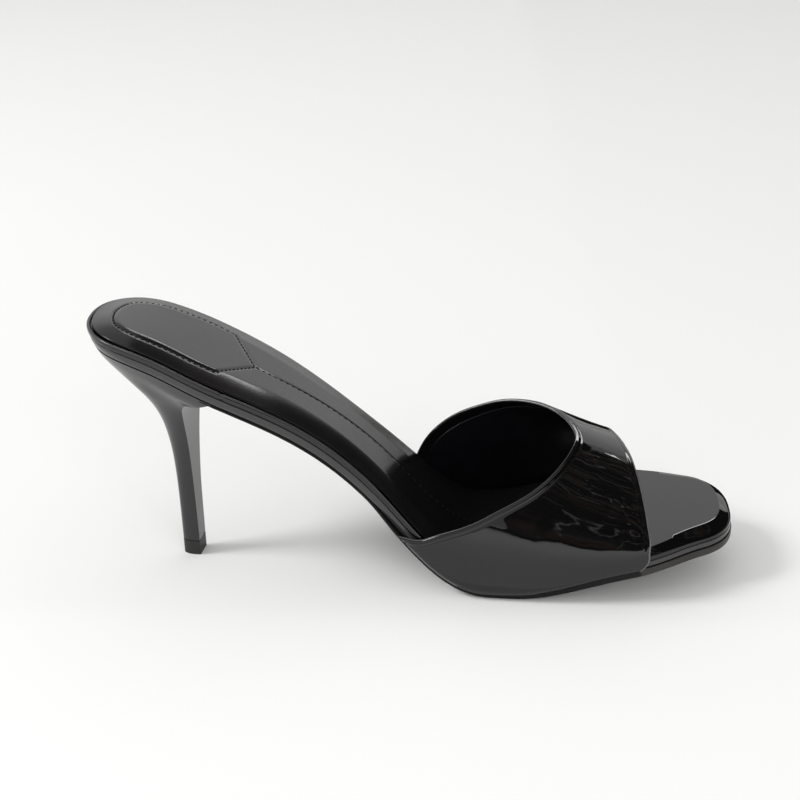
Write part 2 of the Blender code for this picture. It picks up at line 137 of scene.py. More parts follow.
# Edges of the vamp: share of the way over the foot, from the outer side to the inner,
# and the length shares of the collar and of the front edge there
VAMP_EDGES = (
    (0.00, 0.484, 0.848),
    (0.01, 0.498, 0.855),
    (0.05, 0.534, 0.862),
    (0.10, 0.575, 0.863),
    (0.15, 0.623, 0.860),
    (0.20, 0.671, 0.857),
    (0.26, 0.710, 0.853),
    (0.33, 0.736, 0.848),
    (0.40, 0.751, 0.842),
    (0.46, 0.755, 0.836),
    (0.52, 0.742, 0.826),
    (0.58, 0.714, 0.816),
    (0.65, 0.668, 0.808),
    (0.72, 0.619, 0.805),
    (0.80, 0.573, 0.807),
    (0.88, 0.534, 0.813),
    (0.95, 0.504, 0.819),
    (1.00, 0.488, 0.823),
)

# Heel from the tip up: shares of its height at the back and at the breast, of the way
# back to the seat, of the way forward to the lip, and of the spread to the seat's width
HEEL_ROWS = (
    (0.000, 0.000, 0.000, 0.000, 0.000),
    (0.110, 0.130, 0.000, 0.000, 0.008),
    (0.260, 0.320, 0.004, 0.000, 0.030),
    (0.400, 0.490, 0.020, 0.010, 0.085),
    (0.510, 0.630, 0.056, 0.020, 0.165),
    (0.610, 0.740, 0.125, 0.030, 0.270),
    (0.700, 0.825, 0.250, 0.045, 0.380),
    (0.780, 0.888, 0.430, 0.080, 0.490),
    (0.850, 0.928, 0.625, 0.170, 0.600),
    (0.910, 0.949, 0.800, 0.340, 0.720),
    (0.960, 0.962, 0.930, 0.600, 0.850),
    (1.000, 1.000, 1.000, 1.000, 1.000),
)

# Bevel of the insole's edge at the toe: share of its thickness up, share of the bevel in
BEVEL_ROWS = (
    (0.00, 0.00),
    (0.26, 0.05),
    (0.50, 0.26),
    (0.78, 0.66),
    (1.00, 1.00),
)

# Outline of the stitched heel pad: millimetres from the back, and share of the half width
PAD_ROWS = (
    (9.0, 0.00),
    (9.5, 0.20),
    (11.2, 0.44),
    (14.5, 0.58),
    (21.0, 0.665),
    (30.0, 0.68),
    (39.0, 0.685),
    (47.0, 0.675),
)
PAD_POINT_MM = 57.3

# Middle seam of the sock: millimetres from the back, and millimetres to the inner side
SEAM_ROWS = (
    (57.3, -1.2),
    (66.0, -1.0),
    (76.0, 0.4),
    (86.0, 1.8),
    (100.0, 2.6),
    (118.0, 2.0),
    (140.0, 1.8),
    (166.5, 2.0),
)

# Edge of the outsole: share of its thickness up, and share of the rounding in
OUTSOLE_EDGE_ROWS = (
    (0.00, 1.00),
    (0.06, 0.45),
    (0.24, 0.10),
    (0.48, 0.00),
    (0.80, 0.00),
    (1.00, 0.30),
)

# Levels of the platform's wall, as shares of its height, closer at both rims
PLATFORM_LEVELS = (0.0, 0.03, 0.09, 0.18, 0.30, 0.45, 0.60, 0.74, 0.85, 0.93, 0.98, 1.0)

# Rounded rim of the sock: metres in, and share of its height up
SOCK_RIM_ROWS = (
    (0.0, 0.0),
    (0.0, 0.45),
    (0.00008, 0.75),
    (0.00022, 0.92),
    (0.00045, 1.0),
)

# Rows beside each edge of the vamp, in millimetres from where they begin
EDGE_ROWS_MM = (0.0, 0.1, 0.2, 0.35, 0.5, 0.7, 0.9, 1.1, 1.3, 1.45, 1.6, 1.75, 1.95, 2.3, 2.8)


def column(rows: Sequence[Sequence[float]], index: int) -> np.ndarray:
    """One column of a table as an array."""
    return np.array([row[index] for row in rows], float)


def ease(x: np.ndarray | float, start: float, end: float) -> np.ndarray:
    """A smooth step: with t the share of the way from start to end, 3t^2 - 2t^3."""
    share = np.clip((np.asarray(x, float) - start) / (end - start), 0.0, 1.0)
    return share * share * (3.0 - 2.0 * share)


def bump(x: np.ndarray, middle: float, width: float) -> np.ndarray:
    """A bell of height 1 at the middle: e to the power of minus (distance / width)^2."""
    return np.exp(-(((np.asarray(x, float) - middle) / width) ** 2))


@dataclass(frozen=True)
class SmoothLine:
    """A natural cubic spline through values at stations, carried on straight past its ends."""

    stations: np.ndarray
    values: np.ndarray
    bends: np.ndarray

    @classmethod
    def through(cls, stations: np.ndarray, values: np.ndarray) -> "SmoothLine":
        """Solve for the second derivatives that make the line smooth.

        Args:
            stations: places of the values, rising.
            values: what the line passes through.

        Returns:
            The line.
        """
        steps = np.diff(stations)
        rises = np.diff(values) / steps
        count = len(stations)
        system = np.eye(count)
        middle = np.arange(1, count - 1)
        system[middle, middle - 1] = steps[:-1]
        system[middle, middle] = 2.0 * (steps[:-1] + steps[1:])
        system[middle, middle + 1] = steps[1:]
        right = np.zeros(count)
        right[1:-1] = 6.0 * np.diff(rises)
        return cls(stations, values, np.linalg.solve(system, right))

    def __call__(self, x: np.ndarray | float) -> np.ndarray:
        """Value at x: the cubic of its span, and outside the ends the end's own slope.

        Args:
            x: places to read the line at.

        Returns:
            The value at each place.
        """
        x = np.asarray(x, float)
        inside = np.clip(x, self.stations[0], self.stations[-1])
        span = np.clip(np.searchsorted(self.stations, inside) - 1, 0, len(self.stations) - 2)
        step = np.diff(self.stations)[span]
        left = self.stations[span + 1] - inside
        right = inside - self.stations[span]
        low = self.bends[span]
        high = self.bends[span + 1]
        value = (low * left**3 + high * right**3) / (6.0 * step)
        value = value + (self.values[span] / step - low * step / 6.0) * left
        value = value + (self.values[span + 1] / step - high * step / 6.0) * right
        steps = np.diff(self.stations)
        rises = np.diff(self.values) / steps
        first = rises[0] - steps[0] * self.bends[1] / 6.0
        last = rises[-1] + steps[-1] * self.bends[-2] / 6.0
        value = value + np.minimum(x - self.stations[0], 0.0) * first
        return value + np.maximum(x - self.stations[-1], 0.0) * last


@dataclass
class Patch:
    """A grid of points that becomes a strip of four-sided faces.

    The grid may close on itself across its rows or its columns, and finish is the
    number of the material slot that its faces take.
    """

    points: np.ndarray
    closed_rows: bool = False
    closed_columns: bool = False
    finish: int = 0

    def faces(self, first: int) -> np.ndarray:
        """Corners of each face: a point, its neighbour across, the one beyond and the one along.

        Args:
            first: number of the patch's first point in the whole mesh.

        Returns:
            An array of four point numbers a face.
        """
        rows, columns = self.points.shape[:2]
        number = first + np.arange(rows * columns).reshape(rows, columns)
        if self.closed_rows:
            number = np.concatenate([number, number[:1]], axis=0)
        if self.closed_columns:
            number = np.concatenate([number, number[:, :1]], axis=1)
        corners = (number[:-1, :-1], number[:-1, 1:], number[1:, 1:], number[1:, :-1])
        return np.stack(corners, axis=-1).reshape(-1, 4)


def mesh_of(name: str, patches: Sequence[Patch], weld: float = 2e-6) -> bpy.types.Mesh:
    """Join patches into one closed mesh with its faces pointing outwards.

    Args:
        name: name of the mesh.
        patches: grids that share their borders.
        weld: points closer than this become one, in metres.

    Returns:
        The mesh.
    """
    counts = np.cumsum([0] + [patch.points[..., 0].size for patch in patches])
    points = np.concatenate([patch.points.reshape(-1, 3) for patch in patches])
    faces = np.concatenate([patch.faces(int(first)) for patch, first in zip(patches, counts)])
    finishes = np.concatenate(
        [np.full(len(patch.faces(0)), patch.finish, np.int32) for patch in patches]
    )
    mesh = bpy.data.meshes.new(name)
    mesh.vertices.add(len(points))
    mesh.vertices.foreach_set("co", points.astype(np.float32).ravel())
    mesh.loops.add(faces.size)
    mesh.loops.foreach_set("vertex_index", faces.astype(np.int32).ravel())
    mesh.polygons.add(len(faces))
    mesh.polygons.foreach_set("loop_start", np.arange(0, faces.size, 4, dtype=np.int32))
    mesh.polygons.foreach_set("material_index", finishes)
    mesh.update(calc_edges=True)
    work = bmesh.new()
    work.from_mesh(mesh)
    bmesh.ops.remove_doubles(work, verts=work.verts, dist=weld)
    bmesh.ops.dissolve_degenerate(work, edges=work.edges, dist=weld * 0.5)
    bmesh.ops.recalc_face_normals(work, faces=work.faces)
    work.to_mesh(mesh)
    work.free()
    return mesh


def link(name: str, data: bpy.types.ID) -> bpy.types.Object:
    """Put a new object into the scene.

    Args:
        name: the object's name.
        data: its mesh, camera or light.

    Returns:
        The object.
    """
    made = bpy.data.objects.new(name, data)
    bpy.context.scene.collection.objects.link(made)
    return made


def unit(vectors: np.ndarray) -> np.ndarray:
    """Each vector of an array scaled to length 1."""
    return vectors / np.linalg.norm(vectors, axis=-1, keepdims=True)


def signed_power(x: np.ndarray, power: float) -> np.ndarray:
    """The sign of x times |x| to the power, as superellipses are drawn."""
    return np.sign(x) * np.abs(x) ** power


def distance_along(line: np.ndarray) -> np.ndarray:
    """Distance travelled along a line at each of its points."""
    return np.concatenate([[0.0], np.cumsum(np.linalg.norm(np.diff(line, axis=0), axis=1))])


def points_along(line: np.ndarray, distance: np.ndarray) -> np.ndarray:
    """Plan points of a line at distances along it, straight between its own points."""
    travel = distance_along(line)
    return np.column_stack([np.interp(distance, travel, line[:, axis]) for axis in (0, 1)])


def span_ring(ring: np.ndarray, steps: int) -> np.ndarray:
    """Points straight across a ring: outer point + share of the way to its fellow.

    Args:
        ring: a closed line, out along the outer side and back along the inner one.
        steps: number of steps across.

    Returns:
        A grid of points with a row for each station.
    """
    outer, inner = np.split(ring, 2)
    share = np.linspace(0.0, 1.0, steps + 1)[None, :, None]
    return outer[:, None] + (inner[::-1] - outer)[:, None] * share


def fold_caps(loop: np.ndarray) -> list[Patch]:
    """Close both ends of a folded band with rungs from each point to its fellow.

    Args:
        loop: rows of points that each run round the band's section.

    Returns:
        A patch for each end.
    """
    caps = []
    for end in (loop[0], loop[-1]):
        pairs = len(end) // 2
        caps.append(Patch(np.stack([end[:pairs], end[::-1][:pairs]], axis=1)))
    return caps


def line_distance(flat: np.ndarray, line: np.ndarray) -> np.ndarray:
    """Distance from plan points to a line: the least over its stretches of the foot's length.

    Args:
        flat: plan points, x and y in the last axis.
        line: points of the line.

    Returns:
        Distances of the same shape as flat without its last axis.
    """
    points = flat.reshape(-1, 2)
    starts = line[:-1]
    spans = line[1:] - starts
    least_square = 1e-14
    sizes = np.maximum((spans**2).sum(axis=1), least_square)
    best = np.full(len(points), np.inf)
    for start, span, size in zip(starts, spans, sizes):
        share = np.clip(((points - start) @ span) / size, 0.0, 1.0)
        away = points - start - share[:, None] * span
        best = np.minimum(best, (away**2).sum(axis=1))
    return np.sqrt(best).reshape(flat.shape[:-1])


@dataclass
class Last:
    """The last's named sizes and the curves that every piece follows.

    Lengths run along the floor from the back of the seat, and place() moves a point
    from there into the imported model's frame.
    """

    length: float = 0.2250
    heel_lift: float = 0.0869
    toe_spring: float = 0.0133
    instep_rise: float = 0.0500
    seat_round: float = 0.0240
    seat_power: float = 2.2
    toe_round: float = 0.0125
    toe_power: float = 2.55
    outsole_shank: float = 0.0010
    outsole_toe: float = 0.0028
    midsole_shank: float = 0.0035
    midsole_toe: float = 0.0021
    insole_shank: float = 0.0018
    insole_toe: float = 0.0043
    fit_gap: float = 0.0003
    toe_shares: tuple[float, float] = (0.44, 0.86)
    touch_round: float = 0.00018
    turn_weight: float = 0.022
    slope_reach: float = 0.0005
    dense: int = 4001
    origin: np.ndarray = field(init=False)
    bottom_curve: SmoothLine = field(init=False)
    plan_curves: dict[Side, SmoothLine] = field(init=False)
    plan: dict[Side, tuple[np.ndarray, np.ndarray, np.ndarray]] = field(init=False)
    measure: np.ndarray = field(init=False)

    def __post_init__(self) -> None:
        """Work out the curves and find the seat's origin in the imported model."""
        binding_low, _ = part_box("binding")
        tip_low, tip_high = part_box("heel_tip")
        self.origin = np.array([binding_low.x, (tip_low.y + tip_high.y) / 2.0, 0.0])
        lengths = column(BOTTOM_LINE, 0) * self.length
        heights = column(BOTTOM_LINE, 1) * self.heel_lift + column(BOTTOM_LINE, 2) * self.toe_spring
        self.bottom_curve = SmoothLine.through(lengths, heights)
        places = column(PLAN_ROWS, 0) * self.length
        self.plan_curves = {
            Side.OUTER: SmoothLine.through(places, column(PLAN_ROWS, 1) * MM),
            Side.INNER: SmoothLine.through(places, column(PLAN_ROWS, 2) * MM),
        }
        self.plan = {side: self.trace(side) for side in Side}
        self.measure = self.station_measure()

    def place(self, points: np.ndarray) -> np.ndarray:
        """Points from the seat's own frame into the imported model's frame."""
        return points + self.origin

    def change(self, x: np.ndarray, shares: tuple[float, float]) -> np.ndarray:
        """A smooth change from 0 to 1 between two shares of the length."""
        return ease(x, shares[0] * self.length, shares[1] * self.length)

    def bottom(self, x: np.ndarray) -> np.ndarray:
        """Height of the sole's underside, never under the floor: (b + the root of b^2 + 4k^2) / 2."""
        height = self.bottom_curve(x)
        return 0.5 * (height + np.sqrt(height**2 + 4.0 * self.touch_round**2))

    def upright(self, x: np.ndarray) -> np.ndarray:
        """How much taller a layer stands than it is thick: the root of 1 + slope^2.

        Args:
            x: length.

        Returns:
            The factor at each length.
        """
        x = np.asarray(x, float)
        rise = self.bottom_curve(x + self.slope_reach) - self.bottom_curve(x - self.slope_reach)
        return np.sqrt(1.0 + (rise / (2.0 * self.slope_reach)) ** 2)

    def layer(self, x: np.ndarray, at_shank: float, at_toe: float) -> np.ndarray:
        """Standing height of a layer that changes smoothly from the shank to the toe."""
        return (at_shank + (at_toe - at_shank) * self.change(x, self.toe_shares)) * self.upright(x)

    def outsole_top(self, x: np.ndarray) -> np.ndarray:
        """Upper face of the outsole and of the heel's seat."""
        return self.bottom(x) + self.layer(x, self.outsole_shank, self.outsole_toe)

    def midsole_foot(self, x: np.ndarray) -> np.ndarray:
        """Lower face of the platform."""
        return self.outsole_top(x) + self.fit_gap

    def midsole_top(self, x: np.ndarray) -> np.ndarray:
        """Upper face of the platform."""
        return self.midsole_foot(x) + self.layer(x, self.midsole_shank, self.midsole_toe)

    def insole_foot(self, x: np.ndarray) -> np.ndarray:
        """Lower face of the insole."""
        return self.midsole_top(x) + self.fit_gap

    def insole_top(self, x: np.ndarray) -> np.ndarray:
        """Upper face of the insole."""
        return self.insole_foot(x) + self.layer(x, self.insole_shank, self.insole_toe)

    def half_width(self, x: np.ndarray, side: Side) -> np.ndarray:
        """Plan half width: the side's curve times a superellipse at the seat and at the toe.

        Args:
            x: length.
            side: which side to measure.

        Returns:
            The half width at each length.
        """
        back = np.clip(1.0 - x / self.seat_round, 0.0, 1.0)
        front = np.clip(1.0 - (self.length - x) / self.toe_round, 0.0, 1.0)
        seat = (1.0 - back**self.seat_power) ** (1.0 / self.seat_power)
        toe = (1.0 - front**self.toe_power) ** (1.0 / self.toe_power)
        return self.plan_curves[side](x) * seat * toe

    def trace(self, side: Side) -> tuple[np.ndarray, np.ndarray, np.ndarray]:
        """One side of the plan: stations along half a circle's cosine, with inward normals.

        Args:
            side: which side to follow.

        Returns:
            Lengths, signed widths and inward unit normals.
        """
        angle = np.linspace(0.0, math.pi, self.dense)
        x = self.length * 0.5 * (1.0 - np.cos(angle))
        y = side.value * self.half_width(x, side)
        along = unit(np.stack([np.gradient(x), np.gradient(y)], axis=1))
        inward = np.stack([along[:, 1], -along[:, 0]], axis=1) * side.value
        inward[0] = (1.0, 0.0)
        inward[-1] = (-1.0, 0.0)
        return x, y, inward

    def station_measure(self) -> np.ndarray:
        """A running measure that grows faster where the plan turns or the sole bends.

        Returns:
            The measure at each of the plan's stations.
        """
        x = self.plan[Side.OUTER][0]
        slant = np.arctan(np.gradient(self.bottom_curve(x), x))
        growth = self.turn_weight * np.abs(np.diff(slant))
        for side_x, side_y, inward in self.plan.values():
            turn = np.linalg.norm(np.diff(inward, axis=0), axis=1)
            growth = growth + np.hypot(np.diff(side_x), np.diff(side_y)) + self.turn_weight * turn
        return np.concatenate([[0.0], np.cumsum(growth)])

    def measure_steps(self, start: float, end: float, count: int) -> np.ndarray:
        """Even steps of the running measure between two lengths."""
        x = self.plan[Side.OUTER][0]
        return np.linspace(np.interp(start, x, self.measure), np.interp(end, x, self.measure), count)

    def stations(self, start: float, end: float, count: int) -> np.ndarray:
        """Lengths of the stations between two lengths, evenly spaced in the measure."""
        return np.interp(self.measure_steps(start, end, count), self.measure, self.plan[Side.OUTER][0])

    def side_points(
        self, side: Side, inset: np.ndarray | float, start: float, end: float, count: int
    ) -> np.ndarray:
        """Plan points of one side, each moved along its inward normal by the inset.

        Args:
            side: which side to follow.
            inset: how far in, one number or one a station.
            start: length where the line begins.
            end: length where it ends.
            count: number of stations, evenly spaced in the running measure.

        Returns:
            An array of x and y.
        """
        x, y, inward = self.plan[side]
        wanted = self.measure_steps(start, end, count)
        place = [np.interp(wanted, self.measure, values) for values in (x, y, *inward.T)]
        normal = unit(np.stack(place[2:], axis=1))
        return np.stack(place[:2], axis=1) + normal * np.broadcast_to(inset, (count,))[:, None]

    def ring(self, inset: Profile | float, start: float, end: float, count: int) -> np.ndarray:
        """A closed plan line: out along the outer side and back along the inner side.

        Args:
            inset: how far in from the plan, a number or a function of the length.
            start: length where the ring begins.
            end: length where it turns back.
            count: number of stations on each side.

        Returns:
            An array of x and y, the outer side's stations first.
        """
        depth = inset(self.stations(start, end, count)) if callable(inset) else inset
        outer = self.side_points(Side.OUTER, depth, start, end, count)
        inner = self.side_points(Side.INNER, depth, start, end, count)
        return np.concatenate([outer, inner[::-1]])


@dataclass
class Slab:
    """A layer of the sole: a rim carried round the plan, closed by a lid above and below.

    The rim has a level at each share of the way up from the layer's foot to its top. A
    level's inset from the plan is a function of the length and of that share. A lid runs
    straight across between the rim's two sides.
    """

    last: Last
    inset: Callable[[np.ndarray, float], np.ndarray]
    foot: Profile
    top: Profile
    shares: Sequence[float]
    count: int
    across: int
    start: float = 0.0

    def line(self, up: float) -> np.ndarray:
        """Closed plan line of the level at a share of the way up."""
        return self.last.ring(lambda x: self.inset(x, up), self.start, self.last.length, self.count)

    def height(self, x: np.ndarray, up: float) -> np.ndarray:
        """Height of the level: the foot's + the share of the way up to the top's."""
        return self.foot(x) + (self.top(x) - self.foot(x)) * up

    def rim(self) -> np.ndarray:
        """Points of the rim: one closed plan line a level, lifted to the level's height.

        Returns:
            Rows of points, one row a level.
        """
        levels = []
        for up in self.shares:
            line = self.line(up)
            levels.append(np.column_stack([line, self.height(line[:, 0], up)]))
        return self.last.place(np.array(levels))

    def lid(self, up: float) -> np.ndarray:
        """Points of a lid: straight across the level, and lifted to its height.

        Args:
            up: the level's share of the way up.

        Returns:
            A grid of points.
        """
        flat = span_ring(self.line(up), self.across)
        height = self.height(flat[..., 0], up)
        return self.last.place(np.concatenate([flat, height[..., None]], axis=-1))

    def patches(self, rim_finish: int = 0) -> list[Patch]:
        """The rim, with the number of its material, and both lids."""
        lids = [Patch(self.lid(up)) for up in (self.shares[0], self.shares[-1])]
        return [Patch(self.rim(), closed_columns=True, finish=rim_finish), *lids]


def feed(tree: bpy.types.NodeTree, owner: bpy.types.Node, inputs: Feeds) -> None:
    """Link or set the inputs of a node.

    Args:
        tree: the node's tree.
        owner: the node.
        inputs: for each input's name or number, the socket to link or the value to set.
    """
    for key, value in inputs.items():
        if isinstance(value, bpy.types.NodeSocket):
            tree.links.new(value, owner.inputs[key])
        else:
            owner.inputs[key].default_value = value


def node(
    tree: bpy.types.NodeTree, kind: str, inputs: Feeds | None = None, **settings: object
) -> bpy.types.Node:
    """Add a node, set its properties and feed its inputs.

    Args:
        tree: the material's or group's tree.
        kind: Blender's name of the node type.
        inputs: for each input's name or number, the socket to link or the value to set.
        settings: properties to set on it.

    Returns:
        The node.
    """
    made = tree.nodes.new(kind)
    for key, value in settings.items():
        setattr(made, key, value)
    feed(tree, made, inputs or {})
    return made


def math_node(
    tree: bpy.types.NodeTree,
    operation: str,
    first: bpy.types.NodeSocket | float,
    second: bpy.types.NodeSocket | float,
    clamp: bool = False,
) -> bpy.types.NodeSocket:
    """Add a Math node with two values.

    Args:
        tree: the material's or group's tree.
        operation: what it does, in Blender's word.
        first: a socket or a number.
        second: a socket or a number.
        clamp: whether the result is kept between 0 and 1.

    Returns:
        The node's output.
    """
    made = node(tree, "ShaderNodeMath", {0: first, 1: second}, operation=operation, use_clamp=clamp)
    return made.outputs[0]


def noise(
    tree: bpy.types.NodeTree,
    where: bpy.types.NodeSocket,
    scale: bpy.types.NodeSocket | float,
    detail: float,
) -> bpy.types.NodeSocket:
    """Add a Noise Texture.

    Args:
        tree: the material's or group's tree.
        where: the coordinates that it reads.
        scale: how fine it is, as a socket or a number.
        detail: how many finer octaves it has.

    Returns:
        The noise's value.
    """
    inputs = {"Vector": where, "Scale": scale, "Detail": detail, "Roughness": 0.5}
    return node(tree, "ShaderNodeTexNoise", inputs, noise_dimensions="3D").outputs["Fac"]


def threshold(
    tree: bpy.types.NodeTree, value: bpy.types.NodeSocket, start: float, gain: float
) -> bpy.types.NodeSocket:
    """Make a mask from a value: (value - start) times the gain, kept between 0 and 1.

    Args:
        tree: the material's or group's tree.
        value: what the mask comes from.
        start: value where the mask leaves 0.
        gain: how fast it grows.

    Returns:
        The mask.
    """
    lifted = math_node(tree, "SUBTRACT", value, start)
    return math_node(tree, "MULTIPLY", lifted, gain, clamp=True)


def colour_mix(
    tree: bpy.types.NodeTree,
    mask: bpy.types.NodeSocket,
    low: bpy.types.NodeSocket | Sequence[float],
    high: bpy.types.NodeSocket | Sequence[float],
) -> bpy.types.NodeSocket:
    """Mix two colours by a mask.

    Args:
        tree: the material's tree.
        mask: 0 where the first colour shows and 1 where the second does.
        low: the first colour, as a socket or four numbers.
        high: the second colour, as a socket or four numbers.

    Returns:
        The mixed colour.
    """
    inputs = {"Factor": mask, "A": low, "B": high}
    return node(tree, "ShaderNodeMix", inputs, data_type="RGBA", clamp_factor=True).outputs["Result"]


def relief(
    tree: bpy.types.NodeTree,
    height: bpy.types.NodeSocket,
    depth_mm: float,
    under: bpy.types.NodeSocket | None = None,
) -> bpy.types.NodeSocket:
    """Add a bump.

    Args:
        tree: the material's tree.
        height: what it reads its height from.
        depth_mm: depth that a height of 1 stands for, in millimetres.
        under: normal of another bump that this one lies on.

    Returns:
        The normal.
    """
    inputs = {"Strength": 1.0, "Distance": depth_mm * MM, "Height": height}
    if under is not None:
        inputs["Normal"] = under
    return node(tree, "ShaderNodeBump", inputs).outputs["Normal"]


def blank_material(name: str) -> bpy.types.Material:
    """A new material with Blender's first nodes in it.

    Args:
        name: the material's name.

    Returns:
        The material.
    """
    material = bpy.data.materials.new(name)
    material.use_nodes = True
    return material


class Effects:
    """Shader effects that several finishes share, each built once as a node group."""

    FINE_SHARE = 0.05

    def __init__(self) -> None:
        """Build the groups."""
        self.ripple = self.make_ripple()
        self.grain = self.make_grain()
        self.handling = self.make_handling()

    @staticmethod
    def start(
        name: str, inputs: dict[str, float], outputs: Sequence[str]
    ) -> tuple[bpy.types.NodeTree, bpy.types.Node]:
        """Open a new group that takes object coordinates and numbers and gives out masks.

        Args:
            name: the group's name.
            inputs: default value of each number that it takes, by name.
            outputs: names of what it gives out.

        Returns:
            The group and the node that its inputs come in by.
        """
        group = bpy.data.node_groups.new(name, "ShaderNodeTree")
        group.interface.new_socket(name="Place", in_out="INPUT", socket_type="NodeSocketVector")
        for title, value in inputs.items():
            made = group.interface.new_socket(name=title, in_out="INPUT", socket_type="NodeSocketFloat")
            made.default_value = value
        for title in outputs:
            group.interface.new_socket(name=title, in_out="OUTPUT", socket_type="NodeSocketFloat")
        return group, node(group, "NodeGroupInput")

    def make_ripple(self) -> bpy.types.NodeTree:
        """Slow unevenness of stretched patent: broad noise plus a faint, finer skin of it.

        Returns:
            The group, which gives out a height.
        """
        group, enter = self.start("stretched_skin", {"Broad": 40.0, "Fine": 260.0}, ["Height"])
        broad = noise(group, enter.outputs["Place"], enter.outputs["Broad"], 1.0)
        fine = noise(group, enter.outputs["Place"], enter.outputs["Fine"], 2.0)
        faint = math_node(group, "MULTIPLY", fine, self.FINE_SHARE)
        node(group, "NodeGroupOutput", {"Height": math_node(group, "ADD", broad, faint)})
        return group

    def make_grain(self) -> bpy.types.NodeTree:
        """Pebbled leather: cells that are high in the middle and low at their borders.

        Returns:
            The group, which gives out a height and a mask of unevenness.
        """
        sizes = {"Scale": 1500.0, "Unevenness": 90.0}
        group, enter = self.start("leather_grain", sizes, ["Height", "Mask"])
        inputs = {"Vector": enter.outputs["Place"], "Scale": enter.outputs["Scale"]}
        cells = node(group, "ShaderNodeTexVoronoi", inputs, feature="SMOOTH_F1")
        uneven = noise(group, enter.outputs["Place"], enter.outputs["Unevenness"], 3.0)
        height = math_node(group, "SUBTRACT", 1.0, cells.outputs["Distance"])
        mixed = math_node(group, "ADD", height, uneven)
        node(group, "NodeGroupOutput", {"Height": mixed, "Mask": uneven})
        return group

    def make_handling(self) -> bpy.types.NodeTree:
        """Marks of handling: soft patches of haze, from noise that is clipped low.

        Returns:
            The group, which gives out a mask.
        """
        group, enter = self.start("handling_haze", {"Scale": 55.0, "Amount": 0.5}, ["Mask"])
        patches = noise(group, enter.outputs["Place"], enter.outputs["Scale"], 4.0)
        spread = threshold(group, patches, start=0.45, gain=2.0)
        mask = math_node(group, "MULTIPLY", spread, enter.outputs["Amount"])
        node(group, "NodeGroupOutput", {"Mask": mask})
        return group


@dataclass(frozen=True)
class SkinFinish:
    """A leather, patent or painted surface.

    The colour runs from base to worn with the unevenness, the roughness from its own
    value up by haze, and the height is what the bump stands for in millimetres.
    """

    name: str
    base: tuple[float, float, float]
    worn: tuple[float, float, float]
    roughness: float
    haze: float
    specular: float = 0.5
    ripple_mm: float = 0.0
    ripple_scale: float = 60.0
    grain_mm: float = 0.0
    grain_scale: float = 900.0

    def make(self, effects: Effects) -> bpy.types.Material:
        """Build the material out of the shared effects.

        Args:
            effects: the node groups that the finishes share.

        Returns:
            The material.
        """
        material = blank_material(self.name)
        tree = material.node_tree
        place = node(tree, "ShaderNodeTexCoord").outputs["Object"]
        haze = node(tree, "ShaderNodeGroup", {"Place": place, "Amount": 1.0}, node_tree=effects.handling)
        grained = {"Place": place, "Scale": self.grain_scale}
        grain = node(tree, "ShaderNodeGroup", grained, node_tree=effects.grain)
        rippled = {"Place": place, "Broad": self.ripple_scale}
        ripple = node(tree, "ShaderNodeGroup", rippled, node_tree=effects.ripple)
        rough = math_node(tree, "MULTIPLY", haze.outputs["Mask"], self.haze)
        waves = relief(tree, ripple.outputs["Height"], self.ripple_mm)
        looks = {
            "Base Color": colour_mix(tree, grain.outputs["Mask"], (*self.base, 1.0), (*self.worn, 1.0)),
            "Roughness": math_node(tree, "ADD", rough, self.roughness),
            "Specular IOR Level": self.specular,
            "Normal": relief(tree, grain.outputs["Height"], self.grain_mm, waves),
        }
        feed(tree, tree.nodes["Principled BSDF"], looks)
        return material


PATENT = SkinFinish(
    name="black_patent",
    base=(0.0022, 0.0022, 0.0024),
    worn=(0.0036, 0.0035, 0.0038),
    roughness=0.035,
    haze=0.03,
    ripple_mm=0.19,
    ripple_scale=100.0,
)
INSOLE_PATENT = replace(PATENT, name="black_patent_insole", ripple_mm=0.05, ripple_scale=60.0)
# A lighter, rougher copy of the patent for edge crests: a painted highlight along them.
PAINTED_HIGHLIGHT_EDGE = replace(
    PATENT,
    name="black_patent_painted_highlight",
    base=(0.08, 0.08, 0.083),
    worn=(0.12, 0.12, 0.123),
    roughness=0.22,
    ripple_mm=0.0,
)
WALL_PATENT = SkinFinish(
    name="black_patent_wall",
    base=(0.0290, 0.0290, 0.0296),
    worn=(0.0360, 0.0358, 0.0364),
    roughness=0.12,
    haze=0.05,
    ripple_mm=0.08,
    ripple_scale=55.0,
)
HEEL_COVER = SkinFinish(
    name="black_heel_cover",
    base=(0.0120, 0.0120, 0.0128),
    worn=(0.0160, 0.0158, 0.0166),
    roughness=0.20,
    haze=0.06,
    ripple_mm=0.05,
)
SOCK_LEATHER = SkinFinish(
    name="black_sock_leather",
    base=(0.0048, 0.0045, 0.0049),
    worn=(0.0080, 0.0075, 0.0080),
    roughness=0.18,
    haze=0.04,
    specular=0.40,
    ripple_mm=0.10,
    ripple_scale=70.0,
    grain_mm=0.012,
    grain_scale=1900.0,
)
LINING = SkinFinish(
    name="black_lining",
    base=(0.0016, 0.0015, 0.0024),
    worn=(0.0050, 0.0046, 0.0072),
    roughness=0.36,
    haze=0.10,
    specular=0.35,
    ripple_mm=0.10,
    grain_mm=0.010,
    grain_scale=1700.0,
)
SOLE_EDGE = SkinFinish(
    name="dressed_sole_edge",
    base=(0.014, 0.0125, 0.0105),
    worn=(0.034, 0.031, 0.026),
    roughness=0.42,
    haze=0.15,
    specular=0.4,
    ripple_mm=0.02,
    ripple_scale=90.0,
    grain_mm=0.020,
    grain_scale=2600.0,
)
# A darker copy of the sole edge for where it lies under the shoe: painted shade.
SHADE_PAINTED_SOLE_EDGE = replace(
    SOLE_EDGE,
    name="sole_edge_painted_shade",
    base=(0.0030, 0.0029, 0.0028),
    worn=(0.0060, 0.0057, 0.0054),
    specular=0.2,
)
SOLE_FACE = SkinFinish(
    name="black_sole_leather",
    base=(0.010, 0.0095, 0.0090),
    worn=(0.022, 0.020, 0.018),
    roughness=0.38,
    haze=0.20,
    specular=0.45,
    ripple_mm=0.03,
    grain_mm=0.015,
    grain_scale=2200.0,
)
